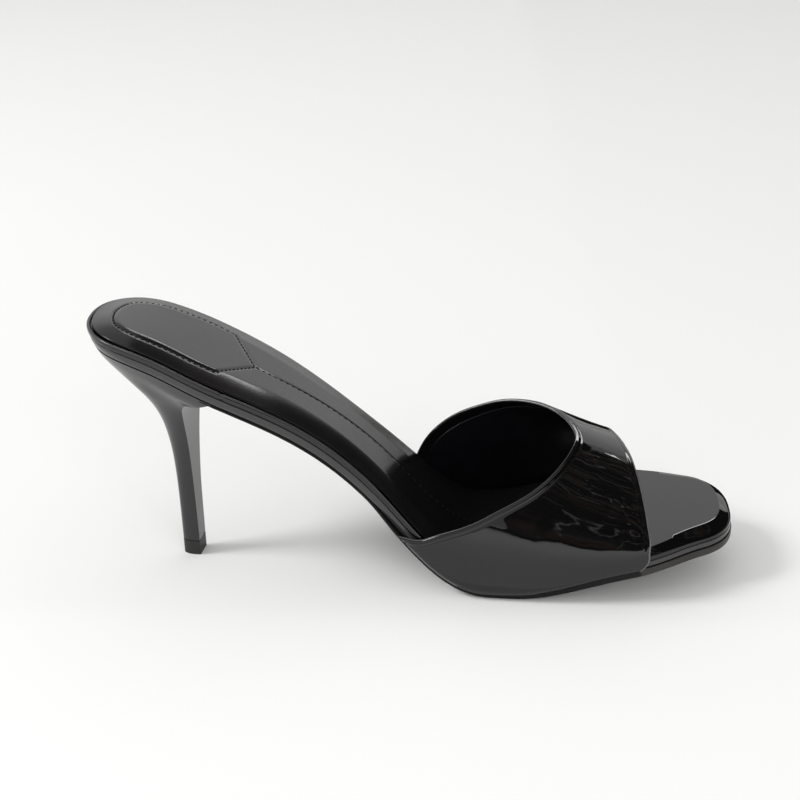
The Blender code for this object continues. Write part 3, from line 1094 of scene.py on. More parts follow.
TOP_PIECE = replace(
    SOLE_EDGE,
    name="black_top_piece",
    base=(0.010, 0.010, 0.010),
    worn=(0.020, 0.019, 0.018),
    roughness=0.48,
    haze=0.20,
    grain_scale=3000.0,
)
THREAD = SkinFinish(
    name="black_thread",
    base=(0.0040, 0.0040, 0.0042),
    worn=(0.0120, 0.0115, 0.0115),
    roughness=0.55,
    haze=0.10,
    specular=0.3,
    ripple_scale=90.0,
    grain_mm=0.030,
    grain_scale=5200.0,
)


@dataclass
class Unit:
    """A sub-assembly of the shoe, cut to the last and dressed with the shared effects."""

    last: Last
    effects: Effects

    def piece(
        self,
        name: str,
        mesh: bpy.types.Mesh,
        finishes: Sequence[SkinFinish],
        slot: str,
        nodes: Sequence[str] = (),
        sharp: float = 60.0,
    ) -> bpy.types.Object:
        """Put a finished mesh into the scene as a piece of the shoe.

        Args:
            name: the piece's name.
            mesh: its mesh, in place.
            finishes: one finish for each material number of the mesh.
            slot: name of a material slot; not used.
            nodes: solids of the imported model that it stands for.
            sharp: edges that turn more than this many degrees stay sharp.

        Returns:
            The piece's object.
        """
        mesh.shade_smooth()
        mesh.set_sharp_from_angle(angle=math.radians(sharp))
        for finish in finishes:
            mesh.materials.append(finish.make(self.effects))
        piece = link(name, mesh)
        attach(piece, BODY)
        if nodes:
            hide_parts(*nodes)
        return piece


@dataclass
class SoleUnit(Unit):
    """The thin outsole and the covered platform on it."""

    back_end: float = 0.0420
    bare_from: float = 0.852
    inset_shank: float = 0.0020
    inset_vamp: float = -0.0003
    inset_toe: float = -0.0004
    tail_shares: tuple[float, float] = (0.425, 0.480)
    front_shares: tuple[float, float] = (0.830, 0.930)
    edge_round: float = 0.0004
    tuck: float = 0.0018
    shoulder: float = 0.0006
    swell: float = 0.0003
    top_round: float = 0.0006
    top_from: float = 0.90
    foot_round: float = 0.0004
    foot_to: float = 0.06
    count: int = 360

    def outsole_inset(self, x: np.ndarray, up: float) -> np.ndarray:
        """Inset of the outsole: in at the shank, out under the vamp, nearly flush at the toe.

        The edge's rounding is added by the share of the way up.

        Args:
            x: length.
            up: share of the way up.

        Returns:
            The inset at each length.
        """
        tail = self.last.change(x, self.tail_shares)
        front = self.last.change(x, self.front_shares)
        rounding = np.interp(up, column(OUTSOLE_EDGE_ROWS, 0), column(OUTSOLE_EDGE_ROWS, 1))
        inset = self.inset_shank + (self.inset_vamp - self.inset_shank) * tail
        return inset + (self.inset_toe - self.inset_vamp) * front + self.edge_round * rounding

    def make_outsole(self) -> bpy.types.Object:
        """The outsole, with a foot edge rounded off and a skived upper edge.

        Returns:
            The piece's object.
        """
        last = self.last
        levels = column(OUTSOLE_EDGE_ROWS, 0)
        slab = Slab(
            last,
            self.outsole_inset,
            last.bottom,
            last.outsole_top,
            levels,
            count=self.count,
            across=30,
            start=self.back_end,
        )
        mesh = mesh_of("outsole_leather", slab.patches(rim_finish=SoleFinish.BARE_EDGE))
        # The rim behind the toe's bare edge is darkened: painted shade.
        self.paint_shade_behind(mesh, last.place(np.array([self.bare_from * last.length, 0.0, 0.0]))[0])
        return self.piece("outsole_leather", mesh, (SOLE_FACE, SOLE_EDGE, SHADE_PAINTED_SOLE_EDGE), "sole", ["outsole"])

    @staticmethod
    def paint_shade_behind(mesh: bpy.types.Mesh, limit: float) -> None:
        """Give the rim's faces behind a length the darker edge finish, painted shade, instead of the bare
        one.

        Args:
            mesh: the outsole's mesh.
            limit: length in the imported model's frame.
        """
        count = len(mesh.polygons)
        centres = np.empty(count * 3, np.float32)
        finishes = np.empty(count, np.int32)
        mesh.polygons.foreach_get("center", centres)
        mesh.polygons.foreach_get("material_index", finishes)
        behind = (finishes == SoleFinish.BARE_EDGE) & (centres[::3] < limit)
        finishes[behind] = SoleFinish.BLACK_EDGE
        mesh.polygons.foreach_set("material_index", finishes)

    def wall_inset(self, x: np.ndarray, up: float) -> np.ndarray:
        """Inset of the platform's wall: it leans from the tuck to the shoulder and swells between.

        The swell is half a sine wave. Both rims are rounded off, and the wall stands
        straight at the toe.

        Args:
            x: length.
            up: share of the way up.

        Returns:
            The inset at each length.
        """
        top = self.top_round * (max(0.0, up - self.top_from) / (1.0 - self.top_from)) ** 2
        foot = self.foot_round * max(0.0, self.foot_to - up) / self.foot_to
        lean = self.tuck + (self.shoulder - self.tuck) * up - self.swell * math.sin(math.pi * up)
        return lean * (1.0 - self.last.change(x, self.last.toe_shares)) + top + foot

    def make_platform(self) -> bpy.types.Object:
        """The platform between the outsole and the insole.

        Returns:
            The piece's object.
        """
        last = self.last
        slab = Slab(
            last,
            self.wall_inset,
            last.midsole_foot,
            last.midsole_top,
            PLATFORM_LEVELS,
            count=self.count,
            across=6,
        )
        mesh = mesh_of("platform_cover", slab.patches())
        return self.piece("platform_cover", mesh, [WALL_PATENT], "patent", ["midsole"])

    def build(self) -> list[bpy.types.Object]:
        """Both pieces of the sole."""
        return [self.make_outsole(), self.make_platform()]


@dataclass
class FootBed(Unit):
    """The insole, its binding and the padded, stitched sock."""

    binding_width: float = 0.0013
    binding_proud: float = 0.0003
    binding_end: float = 0.515
    binding_power: float = 2.8
    binding_columns: int = 20
    # Column of the binding's section that takes the painted highlight.
    highlight_column: int = 2
    joint_length: float = 0.0500
    joint_width: float = 0.0005
    joint_draw: float = 0.20
    joint_middle: tuple[float, float] = (0.5, 0.45)
    toe_bevel: float = 0.0014
    tip_bevel: float = 0.0042
    tip_shares: tuple[float, float] = (0.840, 0.990)
    bevel_shares: tuple[float, float] = (0.525, 0.620)
    sock_edge: float = 0.0008
    sock_pad: float = 0.0029
    sock_far_share: float = 0.30
    sock_margin: float = 0.0005
    sock_slope: float = 0.0084
    sock_swell: float = 1.15
    sock_fade: float = 0.600
    sock_end: float = 0.745
    groove_depth: float = 0.00042
    groove_width: float = 0.00050
    seam_share: float = 0.8
    thread_sink: float = 0.45
    stitch_pitch: float = 0.0020
    stitch_length: float = 0.0013
    stitch_radius: float = 0.00021
    stitch_reach: float = 0.0004
    count: int = 420
    outline_count: int = 260
    pad_count: int = 90
    seam_count: int = 140
    sock_inset: float = field(init=False)
    outline: np.ndarray = field(init=False)
    bevel: SmoothLine = field(init=False)

    def __post_init__(self) -> None:
        """Keep the sock's plan outline, which its padding is measured from, and the bevel's line."""
        self.sock_inset = self.binding_width + 2.0 * self.last.fit_gap
        end = self.sock_end * self.last.length
        self.outline = self.last.ring(self.sock_inset, 0.0, end, self.outline_count)
        self.bevel = SmoothLine.through(column(BEVEL_ROWS, 0), column(BEVEL_ROWS, 1))

    def insole_inset(self, x: np.ndarray, up: float) -> np.ndarray:
        """Inset of the insole: upright behind the binding, and bevelled where it shows at the toe.

        Args:
            x: length.
            up: share of the way up.

        Returns:
            The inset at each length.
        """
        behind = self.binding_width + self.last.fit_gap
        shown = self.last.change(x, self.bevel_shares)
        width = self.toe_bevel + (self.tip_bevel - self.toe_bevel) * self.last.change(x, self.tip_shares)
        return behind + (width * float(self.bevel(up)) - behind) * shown

    def make_insole(self) -> bpy.types.Object:
        """The insole, whose bevel widens towards the tip of the toe.

        Returns:
            The piece's object.
        """
        last = self.last
        levels = np.concatenate([np.linspace(0.0, 0.9, 13), [0.94, 0.97, 0.99, 1.0]])
        slab = Slab(
            last,
            self.insole_inset,
            last.insole_foot,
            last.insole_top,
            levels,
            count=self.count,
            across=24,
        )
        mesh = mesh_of("insole_cover", slab.patches())
        return self.piece("insole_cover", mesh, [INSOLE_PATENT], "patent", ["insole"], sharp=50.0)

    def binding_side(self, side: Side, across: np.ndarray, up: np.ndarray) -> np.ndarray:
        """One side of the binding, drawn in towards its section's middle at the butt joint.

        Args:
            side: which side to follow.
            across: share of the width in, for each point of the section.
            up: share of the height up, for each point of the section.

        Returns:
            A row of points for each point of the section.
        """
        last = self.last
        end = self.binding_end * last.length
        joint = np.zeros(self.count)
        if side is Side.OUTER:
            x = last.stations(0.0, end, self.count)
            joint = bump(x, self.joint_length, self.joint_width) * self.joint_draw
        middle_in, middle_up = self.joint_middle
        lines = []
        for inward, upward in zip(across, up):
            inset = self.binding_width * (inward + (middle_in - inward) * joint)
            plan = last.side_points(side, inset, 0.0, end, self.count)
            foot = last.insole_foot(plan[:, 0])
            rise = last.insole_top(plan[:, 0]) + self.binding_proud - foot
            height = foot + rise * (upward + (middle_up - upward) * joint)
            lines.append(np.column_stack([plan, height]))
        return np.array(lines)

    def make_binding(self) -> bpy.types.Object:
        """The binding: a rounded square section carried round the seat.

        The section is a superellipse, |cos|^(2/p) across and |sin|^(2/p) up. Its outer top
        corner has a lighter finish that paints a highlight.

        Returns:
            The piece's object.
        """
        angle = np.linspace(0.0, 2.0 * math.pi, self.binding_columns, endpoint=False)
        across = 0.5 - 0.5 * signed_power(np.cos(angle), 2.0 / self.binding_power)
        up = 0.5 + 0.5 * signed_power(np.sin(angle), 2.0 / self.binding_power)
        outer = self.binding_side(Side.OUTER, across, up)
        inner = self.binding_side(Side.INNER, across, up)
        path = np.concatenate([outer[:, ::-1], inner[:, 1:]], axis=1)
        path = self.last.place(path.transpose(1, 0, 2))
        corner = self.highlight_column
        rest = np.concatenate([path[:, corner + 1 :], path[:, : corner + 1]], axis=1)
        # The outer top corner gets the lighter finish, a painted highlight.
        patches = [Patch(rest), Patch(path[:, corner : corner + 2], finish=HIGHLIGHT_FINISH_NUMBER)]
        for ring in (path[0], path[-1]):
            centre = np.broadcast_to(ring.mean(axis=0), ring.shape)
            patches.append(Patch(np.stack([ring, centre]), closed_columns=True))
        mesh = mesh_of("edge_binding", patches)
        return self.piece("edge_binding", mesh, (PATENT, PAINTED_HIGHLIGHT_EDGE), "patent", ["binding"], sharp=50.0)

    def sock_height(self, flat: np.ndarray) -> np.ndarray:
        """Top of the sock: insole + edge + padding, which swells as 1 - (1 - share of the slope)^p.

        The slope is measured from the sock's outline. The padding is fullest along the
        outer side and thins evenly towards the inner one.

        Args:
            flat: plan points, x and y in the last axis.

        Returns:
            The height at each point.
        """
        last = self.last
        x = flat[..., 0]
        seat_guard = 0.004
        across = 0.5 + 0.5 * flat[..., 1] / last.half_width(np.maximum(x, seat_guard), Side.INNER)
        full = 1.0 - (1.0 - self.sock_far_share) * np.clip(across, 0.0, 1.0)
        edge_distance = line_distance(flat, np.concatenate([self.outline, self.outline[:1]]))
        slope = np.clip((edge_distance - self.sock_margin) / self.sock_slope, 0.0, 1.0)
        rise = 1.0 - (1.0 - slope) ** self.sock_swell
        fade = 1.0 - last.change(x, (self.sock_fade, self.sock_end))
        return last.insole_top(x) + last.fit_gap + self.sock_edge + self.sock_pad * full * rise * fade

    def half_place(self, x: np.ndarray, share: np.ndarray, side: Side) -> np.ndarray:
        """Plan points at a share of the half width on one side."""
        return np.column_stack([x, side.value * share * self.last.half_width(x, side)])

    def pad_line(self) -> np.ndarray:
        """The heel pad's outline: a U round the seat whose arms meet in a point in front.

        Returns:
            Plan points of the closed line.
        """
        measure = np.linspace(0.0, 1.0, len(PAD_ROWS))
        steps = np.linspace(0.0, 1.0, self.pad_count)
        x = SmoothLine.through(measure, column(PAD_ROWS, 0) * MM)(steps)
        share = SmoothLine.through(measure, column(PAD_ROWS, 1))(steps)
        outer = self.half_place(x, share, Side.OUTER)
        inner = self.half_place(x, share, Side.INNER)
        point = np.array([[PAD_POINT_MM * MM, SEAM_ROWS[0][1] * MM]])
        return np.concatenate([point, outer[::-1], inner[1:], point])

    def seam_line(self) -> np.ndarray:
        """The sock's middle seam, from the pad's point to under the vamp.

        Returns:
            Plan points of the line.
        """
        line = SmoothLine.through(column(SEAM_ROWS, 0) * MM, column(SEAM_ROWS, 1) * MM)
        x = np.linspace(SEAM_ROWS[0][0] * MM, SEAM_ROWS[-1][0] * MM, self.seam_count)
        return np.column_stack([x, line(x)])

    def make_sock(self) -> bpy.types.Object:
        """The padded sock, with grooves where the heel pad and the middle seam are stitched.

        A groove takes away its depth times e to the power of minus (distance / width)^2.

        Returns:
            The piece's object.
        """
        last = self.last
        end = self.sock_end * last.length
        rim = []
        for inward, up in SOCK_RIM_ROWS:
            plan = last.ring(self.sock_inset + inward, 0.0, end - inward, self.count)
            foot = last.insole_top(plan[:, 0]) + last.fit_gap
            rim.append(np.column_stack([plan, foot + (self.sock_height(plan) - foot) * up]))
        flat = span_ring(rim[-1][:, :2], steps=100)
        height = self.sock_height(flat)
        seam_depth = self.groove_depth * self.seam_share
        for line, depth in ((self.pad_line(), self.groove_depth), (self.seam_line(), seam_depth)):
            height = height - depth * bump(line_distance(flat, line), 0.0, self.groove_width)
        lid = np.concatenate([flat, height[..., None]], axis=-1)
        ground = span_ring(rim[0], steps=6)
        ground[..., 2] = last.insole_top(ground[..., 0]) + last.fit_gap
        patches = [Patch(last.place(np.array(rim)), closed_columns=True)]
        patches += [Patch(last.place(face)) for face in (lid, ground)]
        mesh = mesh_of("padded_sock", patches)
        piece = self.piece("padded_sock", mesh, [SOCK_LEATHER], "sock_leather", ["sock"])
        return piece

    def thread_points(self, line: np.ndarray, distance: np.ndarray) -> np.ndarray:
        """Points at distances along a seam, sunk in its groove."""
        flat = points_along(line, distance)
        return np.column_stack([flat, self.sock_height(flat) - self.groove_depth * self.thread_sink])

    def make_stitches(self, name: str, line: np.ndarray) -> bpy.types.Object:
        """A row of thread: small capsules at even steps along a line, half sunk in its groove.

        Each capsule is a circle whose radius follows the root of 1 - t^4 along its length.

        Args:
            name: the piece's name.
            line: plan points of the seam.

        Returns:
            The piece's object.
        """
        places = np.arange(self.stitch_pitch * 0.5, distance_along(line)[-1], self.stitch_pitch)
        centre = self.thread_points(line, places)
        before = self.thread_points(line, places - self.stitch_reach)
        ahead = unit(self.thread_points(line, places + self.stitch_reach) - before)
        across = unit(np.cross(ahead, np.array([0.0, 0.0, 1.0])))
        upward = np.cross(across, ahead)
        along = np.linspace(-1.0, 1.0, 7)
        radius = self.stitch_radius * np.sqrt(np.clip(1.0 - along**4, 0.0, 1.0))
        angle = np.linspace(0.0, 2.0 * math.pi, 8, endpoint=False)
        shape = (
            ahead[:, None, None] * (along * self.stitch_length * 0.5)[None, :, None, None]
            + across[:, None, None] * (radius[:, None] * np.cos(angle))[None, :, :, None]
            + upward[:, None, None] * (radius[:, None] * np.sin(angle))[None, :, :, None]
        )
        shape = self.last.place(shape + centre[:, None, None])
        mesh = mesh_of(name, [Patch(each, closed_columns=True) for each in shape])
        return self.piece(name, mesh, [THREAD], "sock_leather", sharp=40.0)

    def build(self) -> list[bpy.types.Object]:
        """All pieces of the foot bed."""
        return [
            self.make_insole(),
            self.make_binding(),
            self.make_sock(),
            self.make_stitches("pad_stitches", self.pad_line()),
            self.make_stitches("seam_stitches", self.seam_line()),
        ]


@dataclass
class BandRows:
    """Where the vamp's rows lie: a row of the grid for each share, with a column a length."""

    share: np.ndarray
    x: np.ndarray
    to_collar: np.ndarray
    to_front: np.ndarray
    collar_pace: np.ndarray
    front_pace: np.ndarray


@dataclass
class Vamp(Unit):
    """The wide vamp with its folded edges, and the lining inside it."""

    wall: float = 0.0016
    overhang: float = 0.0023
    crown_offset: float = 0.0020
    round_power: float = 2.2
    bead_rise: float = 0.00022
    bead_place: float = 0.0007
    bead_width: float = 0.00045
    crease_drop: float = 0.00016
    crease_place: float = 0.0016
    crease_width: float = 0.00028
    front_relief: float = 0.25
    edge_bulge: float = 0.42
    edge_steps: int = 10
    foot_tuck: float = 0.0009
    tuck_share: float = 0.004
    facing: float = 0.0034
    lining_back: float = 0.00003
    lining_face: float = 0.00004
    lining_rise: float = 0.00022
    lining_round_rows: float = 4.0
    over: int = 260
    band_rows: int = 70
    lining_rows: int = 60
    collar: SmoothLine = field(init=False)
    front: SmoothLine = field(init=False)
    crown: SmoothLine = field(init=False)

    def __post_init__(self) -> None:
        """Draw the smooth lines of the crown and the two edges."""
        places = column(VAMP_EDGES, 0)
        self.collar = SmoothLine.through(places, column(VAMP_EDGES, 1) * self.last.length)
        self.front = SmoothLine.through(places, column(VAMP_EDGES, 2) * self.last.length)
        lengths = column(CROWN_ROWS, 0) * self.last.length
        self.crown = SmoothLine.through(lengths, column(CROWN_ROWS, 1) * self.last.instep_rise)

    def surface(self, share: np.ndarray, x: np.ndarray, shrink: np.ndarray) -> np.ndarray:
        """A point of the vamp: a superellipse arch over the foot at x, drawn in by shrink.

        With a = pi times the share, y follows the side's width times |cos a|^(2/p) and z
        the crown's rise times |sin a|^(2/p).

        Args:
            share: share of the way over the foot, from the outer side.
            x: length.
            shrink: how far inside the outer face.

        Returns:
            Points in the seat's frame.
        """
        angle = math.pi * share
        outer = self.last.half_width(x, Side.OUTER) + self.overhang - shrink
        inner = self.last.half_width(x, Side.INNER) + self.overhang - shrink
        rise = self.crown(x) - shrink
        power = 2.0 / self.round_power
        across = np.cos(angle)
        reach = np.where(across > 0.0, outer + self.crown_offset, inner - self.crown_offset)
        y = self.crown_offset - reach * signed_power(across, power)
        z = self.last.midsole_foot(x) + rise * np.abs(np.sin(angle)) ** power
        return np.stack([x, y, z], axis=-1)

    def edge_pace(self, share: np.ndarray, edge: SmoothLine) -> np.ndarray:
        """Distance square to an edge that one metre of x covers there.

        It is the length of the surface's step in x, less its part along the edge.

        Args:
            share: shares over the foot.
            edge: the edge's line.

        Returns:
            The pace at each share.
        """
        small = 1e-4
        margin = 0.002
        least = 0.25
        place = np.clip(share, margin, 1.0 - margin)
        x = edge(place)
        zero = np.zeros_like(x)
        along = self.surface(place + small, edge(place + small), zero)
        along = unit(along - self.surface(place - small, edge(place - small), zero))
        step = self.surface(place, x + small, zero) - self.surface(place, x - small, zero)
        step = step / (2.0 * small)
        square = step - (step * along).sum(axis=-1)[:, None] * along
        return np.maximum(np.linalg.norm(square, axis=-1), least)

    def raised(self, distance: np.ndarray, share: float) -> np.ndarray:
        """Relief beside a folded edge: a bead, then the crease where the fold is stuck down."""
        bead = self.bead_rise * bump(distance, self.bead_place, self.bead_width)
        return share * (bead - self.crease_drop * bump(distance, self.crease_place, self.crease_width))

    def rows(self, first: float, count: int) -> BandRows:
        """Lengths across the band at each share, close together beside both edges.

        Args:
            first: distance from each edge where the rows begin.
            count: rows between the two edge zones.

        Returns:
            The rows, with their distances to both edges and the paces there.
        """
        share = np.linspace(0.0, 1.0, self.over + 1)
        collar = self.collar(share)[:, None]
        front = self.front(share)[:, None]
        collar_pace = self.edge_pace(share, self.collar)[:, None]
        front_pace = self.edge_pace(share, self.front)[:, None]
        beside = first + np.array(EDGE_ROWS_MM) * MM
        near = collar + beside / collar_pace
        far = front - beside[::-1] / front_pace
        middle = np.linspace(0.0, 1.0, count + 2)[1:-1]
        between = near[:, -1:] + (far[:, :1] - near[:, -1:]) * middle
        x = np.concatenate([near, between, far], axis=1)
        to_collar = (x - collar) * collar_pace
        to_front = (front - x) * front_pace
        return BandRows(share[:, None], x, to_collar, to_front, collar_pace, front_pace)

    def make_band(self) -> bpy.types.Object:
        """The vamp itself: outer face, rounded front edge, inner face and rounded collar edge.

        Each edge is a half turn through the wall, and its crest has a lighter finish that paints a
        highlight.

        Returns:
            The piece's object.
        """
        rows = self.rows(0.0, self.band_rows)
        share = rows.share
        raise_by = self.raised(rows.to_collar, 1.0) + self.raised(rows.to_front, self.front_relief)
        tuck = self.foot_tuck * bump(np.minimum(share, 1.0 - share), 0.0, self.tuck_share)
        outer = self.surface(share, rows.x, tuck - raise_by)
        inner = self.surface(share, rows.x, np.full_like(rows.x, self.wall))[:, ::-1]
        turn = np.linspace(0.0, math.pi, self.edge_steps)[1:-1]
        depth = 0.5 * self.wall * (1.0 - np.cos(turn))
        bulge = self.edge_bulge * self.wall * np.sin(turn)
        at_front = raise_by[:, -1:] * (1.0 + np.cos(turn)) * 0.5
        at_collar = raise_by[:, :1] * (1.0 - np.cos(turn)) * 0.5
        front_x = self.front(share) + bulge / rows.front_pace
        collar_x = self.collar(share) - bulge / rows.collar_pace
        front_edge = self.surface(share, front_x, depth - at_front)
        collar_edge = self.surface(share, collar_x, self.wall - depth - at_collar)
        half = len(turn) // 2
        sections = [collar_edge[:, half:], outer, front_edge, inner, collar_edge[:, :half]]
        loop = self.last.place(np.concatenate(sections, axis=1))
        first = len(turn) - half + outer.shape[1] - 1
        final = first + len(turn) + 1
        crest = np.concatenate([loop[:, -1:], loop[:, :2]], axis=1)
        patches = [Patch(loop[:, 1 : first + 1]), Patch(loop[:, final:])]
        # The crests of both edges get the lighter finish, a painted highlight.
        patches += [Patch(edge, finish=HIGHLIGHT_FINISH_NUMBER) for edge in (loop[:, first : final + 1], crest)]
        patches += fold_caps(loop)
        mesh = mesh_of("vamp_patent", patches)
        return self.piece("vamp_patent", mesh, (PATENT, PAINTED_HIGHLIGHT_EDGE), "patent", ["upper"])

    def make_lining(self) -> bpy.types.Object:
        """The lining: a thin skin inside the wall that starts a facing's width from each edge.

        Its edges are rounded as a quarter circle over a few rows.

        Returns:
            The piece's object.
        """
        rows = self.rows(self.facing, self.lining_rows)
        number = np.arange(rows.x.shape[1])
        share = np.minimum(np.minimum(number, number[::-1]) / self.lining_round_rows, 1.0)
        rise = self.lining_rise * np.sqrt(np.clip(1.0 - (1.0 - share) ** 2, 0.0, 1.0))
        back = self.surface(rows.share, rows.x, np.full_like(rows.x, self.wall + self.lining_back))
        depth = self.wall + self.lining_face + rise[None, :] * np.ones_like(rows.x)
        face = self.surface(rows.share, rows.x, depth)
        loop = self.last.place(np.concatenate([back, face[:, ::-1]], axis=1))
        mesh = mesh_of("vamp_lining", [Patch(loop, closed_columns=True), *fold_caps(loop)])
        return self.piece("vamp_lining", mesh, [LINING], "patent")

    def build(self) -> list[bpy.types.Object]:
        """The vamp and its lining."""
        return [self.make_band(), self.make_lining()]


@dataclass
class HeelUnit(Unit):
    """The slim covered heel and its top piece."""

    lip: float = 0.0460
    tuck: float = 0.0018
    tip_length: float = 0.0070
    tip_width: float = 0.0074
    tip_height: float = 0.0055
    tip_breast: float = 0.0326
    turn_degrees: float = 5.0
    round_power: float = 2.3
    mix_levels: tuple[float, float] = (0.62, 1.0)
    curve_levels: tuple[float, float] = (0.80, 1.0)
    heel_edge: float = 0.00045
    tip_edge: float = 0.00025
    edge_degrees: float = 38.0
    levels: int = 110
    around: int = 56
    breast_count: int = 14
    half_count: int = 400
    seat_count: int = 500

    def even(self, line: np.ndarray) -> np.ndarray:
        """The same line with points at even steps of its length."""
        return points_along(line, np.linspace(0.0, distance_along(line)[-1], self.around))

    def d_half(self, side: Side, back: float, reach: float, width: float) -> np.ndarray:
        """Half of a D: with s from the back to the breast, y is (1 - (1 - s)^p)^(1/p).

        Args:
            side: which side of the D.
            back: length where the D begins.
            reach: its length.
            width: its whole width.

        Returns:
            Plan points at even steps.
        """
        share = np.cos(np.linspace(0.0, 0.5 * math.pi, self.half_count))
        half = (1.0 - share**self.round_power) ** (1.0 / self.round_power)
        return self.even(np.column_stack([back + reach * (1.0 - share), side.value * 0.5 * width * half]))

    def close_plan(self, halves: Sequence[np.ndarray]) -> np.ndarray:
        """Join two halves into a ring, with the straight breast between their ends."""
        straight = np.linspace(halves[0][-1], halves[1][-1], self.breast_count + 2)[1:-1]
        return np.concatenate([halves[0], straight, halves[1][::-1][:-1]])

    def turned(self, plan: np.ndarray, share: float, height: np.ndarray | float) -> np.ndarray:
        """A plan ring with its breast slanted by a share of the tip's turn, at a height.

        Args:
            plan: plan points of the ring.
            share: how much of the turn it takes.
            height: one height, or one a point.

        Returns:
            Points of the ring.
        """
        turn = math.sin(math.radians(self.turn_degrees)) * share
        x = plan[:, 0] + plan[:, 1] * turn
        return np.column_stack([x, plan[:, 1], np.broadcast_to(height, len(plan))])

    def level_ring(self, seats: dict[Side, np.ndarray], row: np.ndarray) -> np.ndarray:
        """One level of the heel, between the tip's D and the seat's own outline.

        Its plan is a mix of the two by how far up it stands. It leans evenly from the
        breast's height to the back's, and near the top it follows the seat's curve.

        Args:
            seats: plan points of the seat on each side.
            row: the level's five shares, in the order of the heel's table.

        Returns:
            Points of the ring.
        """
        back_up, breast_up, backward, forward, spread = row
        seat_back, seat_lip = seats[Side.OUTER][[0, -1], 0]
        seat_width = seats[Side.INNER][-1, 1] - seats[Side.OUTER][-1, 1]
        foot = self.tip_height + self.last.fit_gap
        back_rise, breast_rise = self.last.outsole_top(np.array([seat_back, seat_lip])) - foot
        tip_back = self.tip_breast - self.tip_length
        back = tip_back + (seat_back - tip_back) * backward
        breast = self.tip_breast + (seat_lip - self.tip_breast) * forward
        width = self.tip_width + (seat_width - self.tip_width) * spread
        mix = ease(back_up, *self.mix_levels)
        halves = []
        for side, seat in seats.items():
            seat_x = back + (breast - back) * (seat[:, 0] - seat_back) / (seat_lip - seat_back)
            seat_half = self.even(np.column_stack([seat_x, seat[:, 1] * width / seat_width]))
            halves.append(self.d_half(side, back, breast - back, width) * (1.0 - mix) + seat_half * mix)
        plan = self.close_plan(halves)
        lean = np.clip((breast - plan[:, 0]) / (breast - back), 0.0, 1.0)
        low = breast_rise * breast_up
        height = foot + low + (back_rise * back_up - low) * lean
        ramp = foot + breast_rise + (back_rise - breast_rise) * lean
        curve = self.last.outsole_top(seat_lip + (seat_back - seat_lip) * lean)
        height = height + ease(back_up, *self.curve_levels) * (curve - ramp)
        return self.turned(plan, 1.0 - spread, height)

    def make_heel(self) -> bpy.types.Object:
        """The heel: D sections that grow from the tip and turn into the seat's own outline.

        Each level takes its back, breast and width from the table's smooth lines.

        Returns:
            The piece's object.
        """
        index = np.linspace(0.0, 1.0, len(HEEL_ROWS))
        level = np.linspace(0.0, 1.0, self.levels)
        lines = [SmoothLine.through(index, column(HEEL_ROWS, place))(level) for place in range(5)]
        seats = {
            side: self.last.side_points(side, self.tuck, 0.0, self.lip, self.seat_count) for side in Side
        }
        rings = [self.level_ring(seats, row) for row in np.clip(np.transpose(lines), 0.0, 1.0)]
        return self.make_solid("heel_cover", rings, HEEL_COVER, "heel_cover", "heel", self.heel_edge)

    def make_top_piece(self) -> bpy.types.Object:
        """The top piece: the tip's own D, carried straight down to the floor.

        Returns:
            The piece's object.
        """
        back = self.tip_breast - self.tip_length
        halves = [self.d_half(side, back, self.tip_length, self.tip_width) for side in Side]
        plan = self.close_plan(halves)
        rings = [self.turned(plan, 1.0, height) for height in np.linspace(0.0, self.tip_height, 5)]
        return self.make_solid("top_piece", rings, TOP_PIECE, "top_piece", "heel_tip", self.tip_edge)

    def close_ring(self, ring: np.ndarray) -> np.ndarray:
        """A lid for a ring that starts at the middle of the back: rungs from side to side.

        Args:
            ring: points of the ring.

        Returns:
            Two points a rung.
        """
        half = self.around + self.breast_count // 2
        other = np.concatenate([ring[:1], ring[::-1][: half - 1]])
        return np.stack([ring[:half], other], axis=1)

    def make_solid(
        self, name: str, rings: Sequence[np.ndarray], finish: SkinFinish, slot: str, solid: str, edge: float
    ) -> bpy.types.Object:
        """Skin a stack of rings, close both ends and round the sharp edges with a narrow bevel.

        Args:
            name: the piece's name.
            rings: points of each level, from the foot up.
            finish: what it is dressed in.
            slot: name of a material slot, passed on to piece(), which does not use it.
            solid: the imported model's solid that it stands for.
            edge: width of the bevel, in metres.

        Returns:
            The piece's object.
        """
        loops = self.last.place(np.array(rings))
        patches = [Patch(loops, closed_columns=True)]
        patches += [Patch(self.close_ring(ring)) for ring in (loops[0], loops[-1])]
        piece = self.piece(name, mesh_of(name, patches), [finish], slot, [solid], sharp=32.0)
        bevel = piece.modifiers.new("softened_edges", "BEVEL")
        bevel.width = edge
        bevel.segments = 3
        bevel.limit_method = "ANGLE"
        bevel.angle_limit = math.radians(self.edge_degrees)
        bevel.use_clamp_overlap = True
        return piece

    def build(self) -> list[bpy.types.Object]:
        """The heel and its top piece."""
        return [self.make_heel(), self.make_top_piece()]


def level_quad(x: Sequence[float], y: Sequence[float], height: float) -> Corners:
    """Corners of a level panel between two x and two y."""
    return ((x[0], y[0], height), (x[1], y[0], height), (x[1], y[1], height), (x[0], y[1], height))


def upright_quad(x: Sequence[float], y: float, z: Sequence[float]) -> Corners:
    """Corners of an upright panel across the view, between two x and two heights."""
    return ((x[0], y, z[0]), (x[1], y, z[0]), (x[1], y, z[1]), (x[0], y, z[1]))


@dataclass(frozen=True)
class Softbox:
    """A square light: where it hangs, what it points at, its side in metres and its watts."""

    name: str
    place: tuple[float, float, float]
    aim: tuple[float, float, float]
    side: float
    power: float
    mirrored: bool = True

    def hang(self) -> None:
        """Put the light into the scene."""
        data = bpy.data.lights.new(self.name, "AREA")
        data.shape = "SQUARE"
        data.size = self.side
        data.energy = self.power
        light = link(self.name, data)
        light.location = Vector(self.place)
        toward = Vector(self.aim) - Vector(self.place)
        light.rotation_euler = toward.to_track_quat("-Z", "Y").to_euler()
        light.visible_glossy = self.mirrored


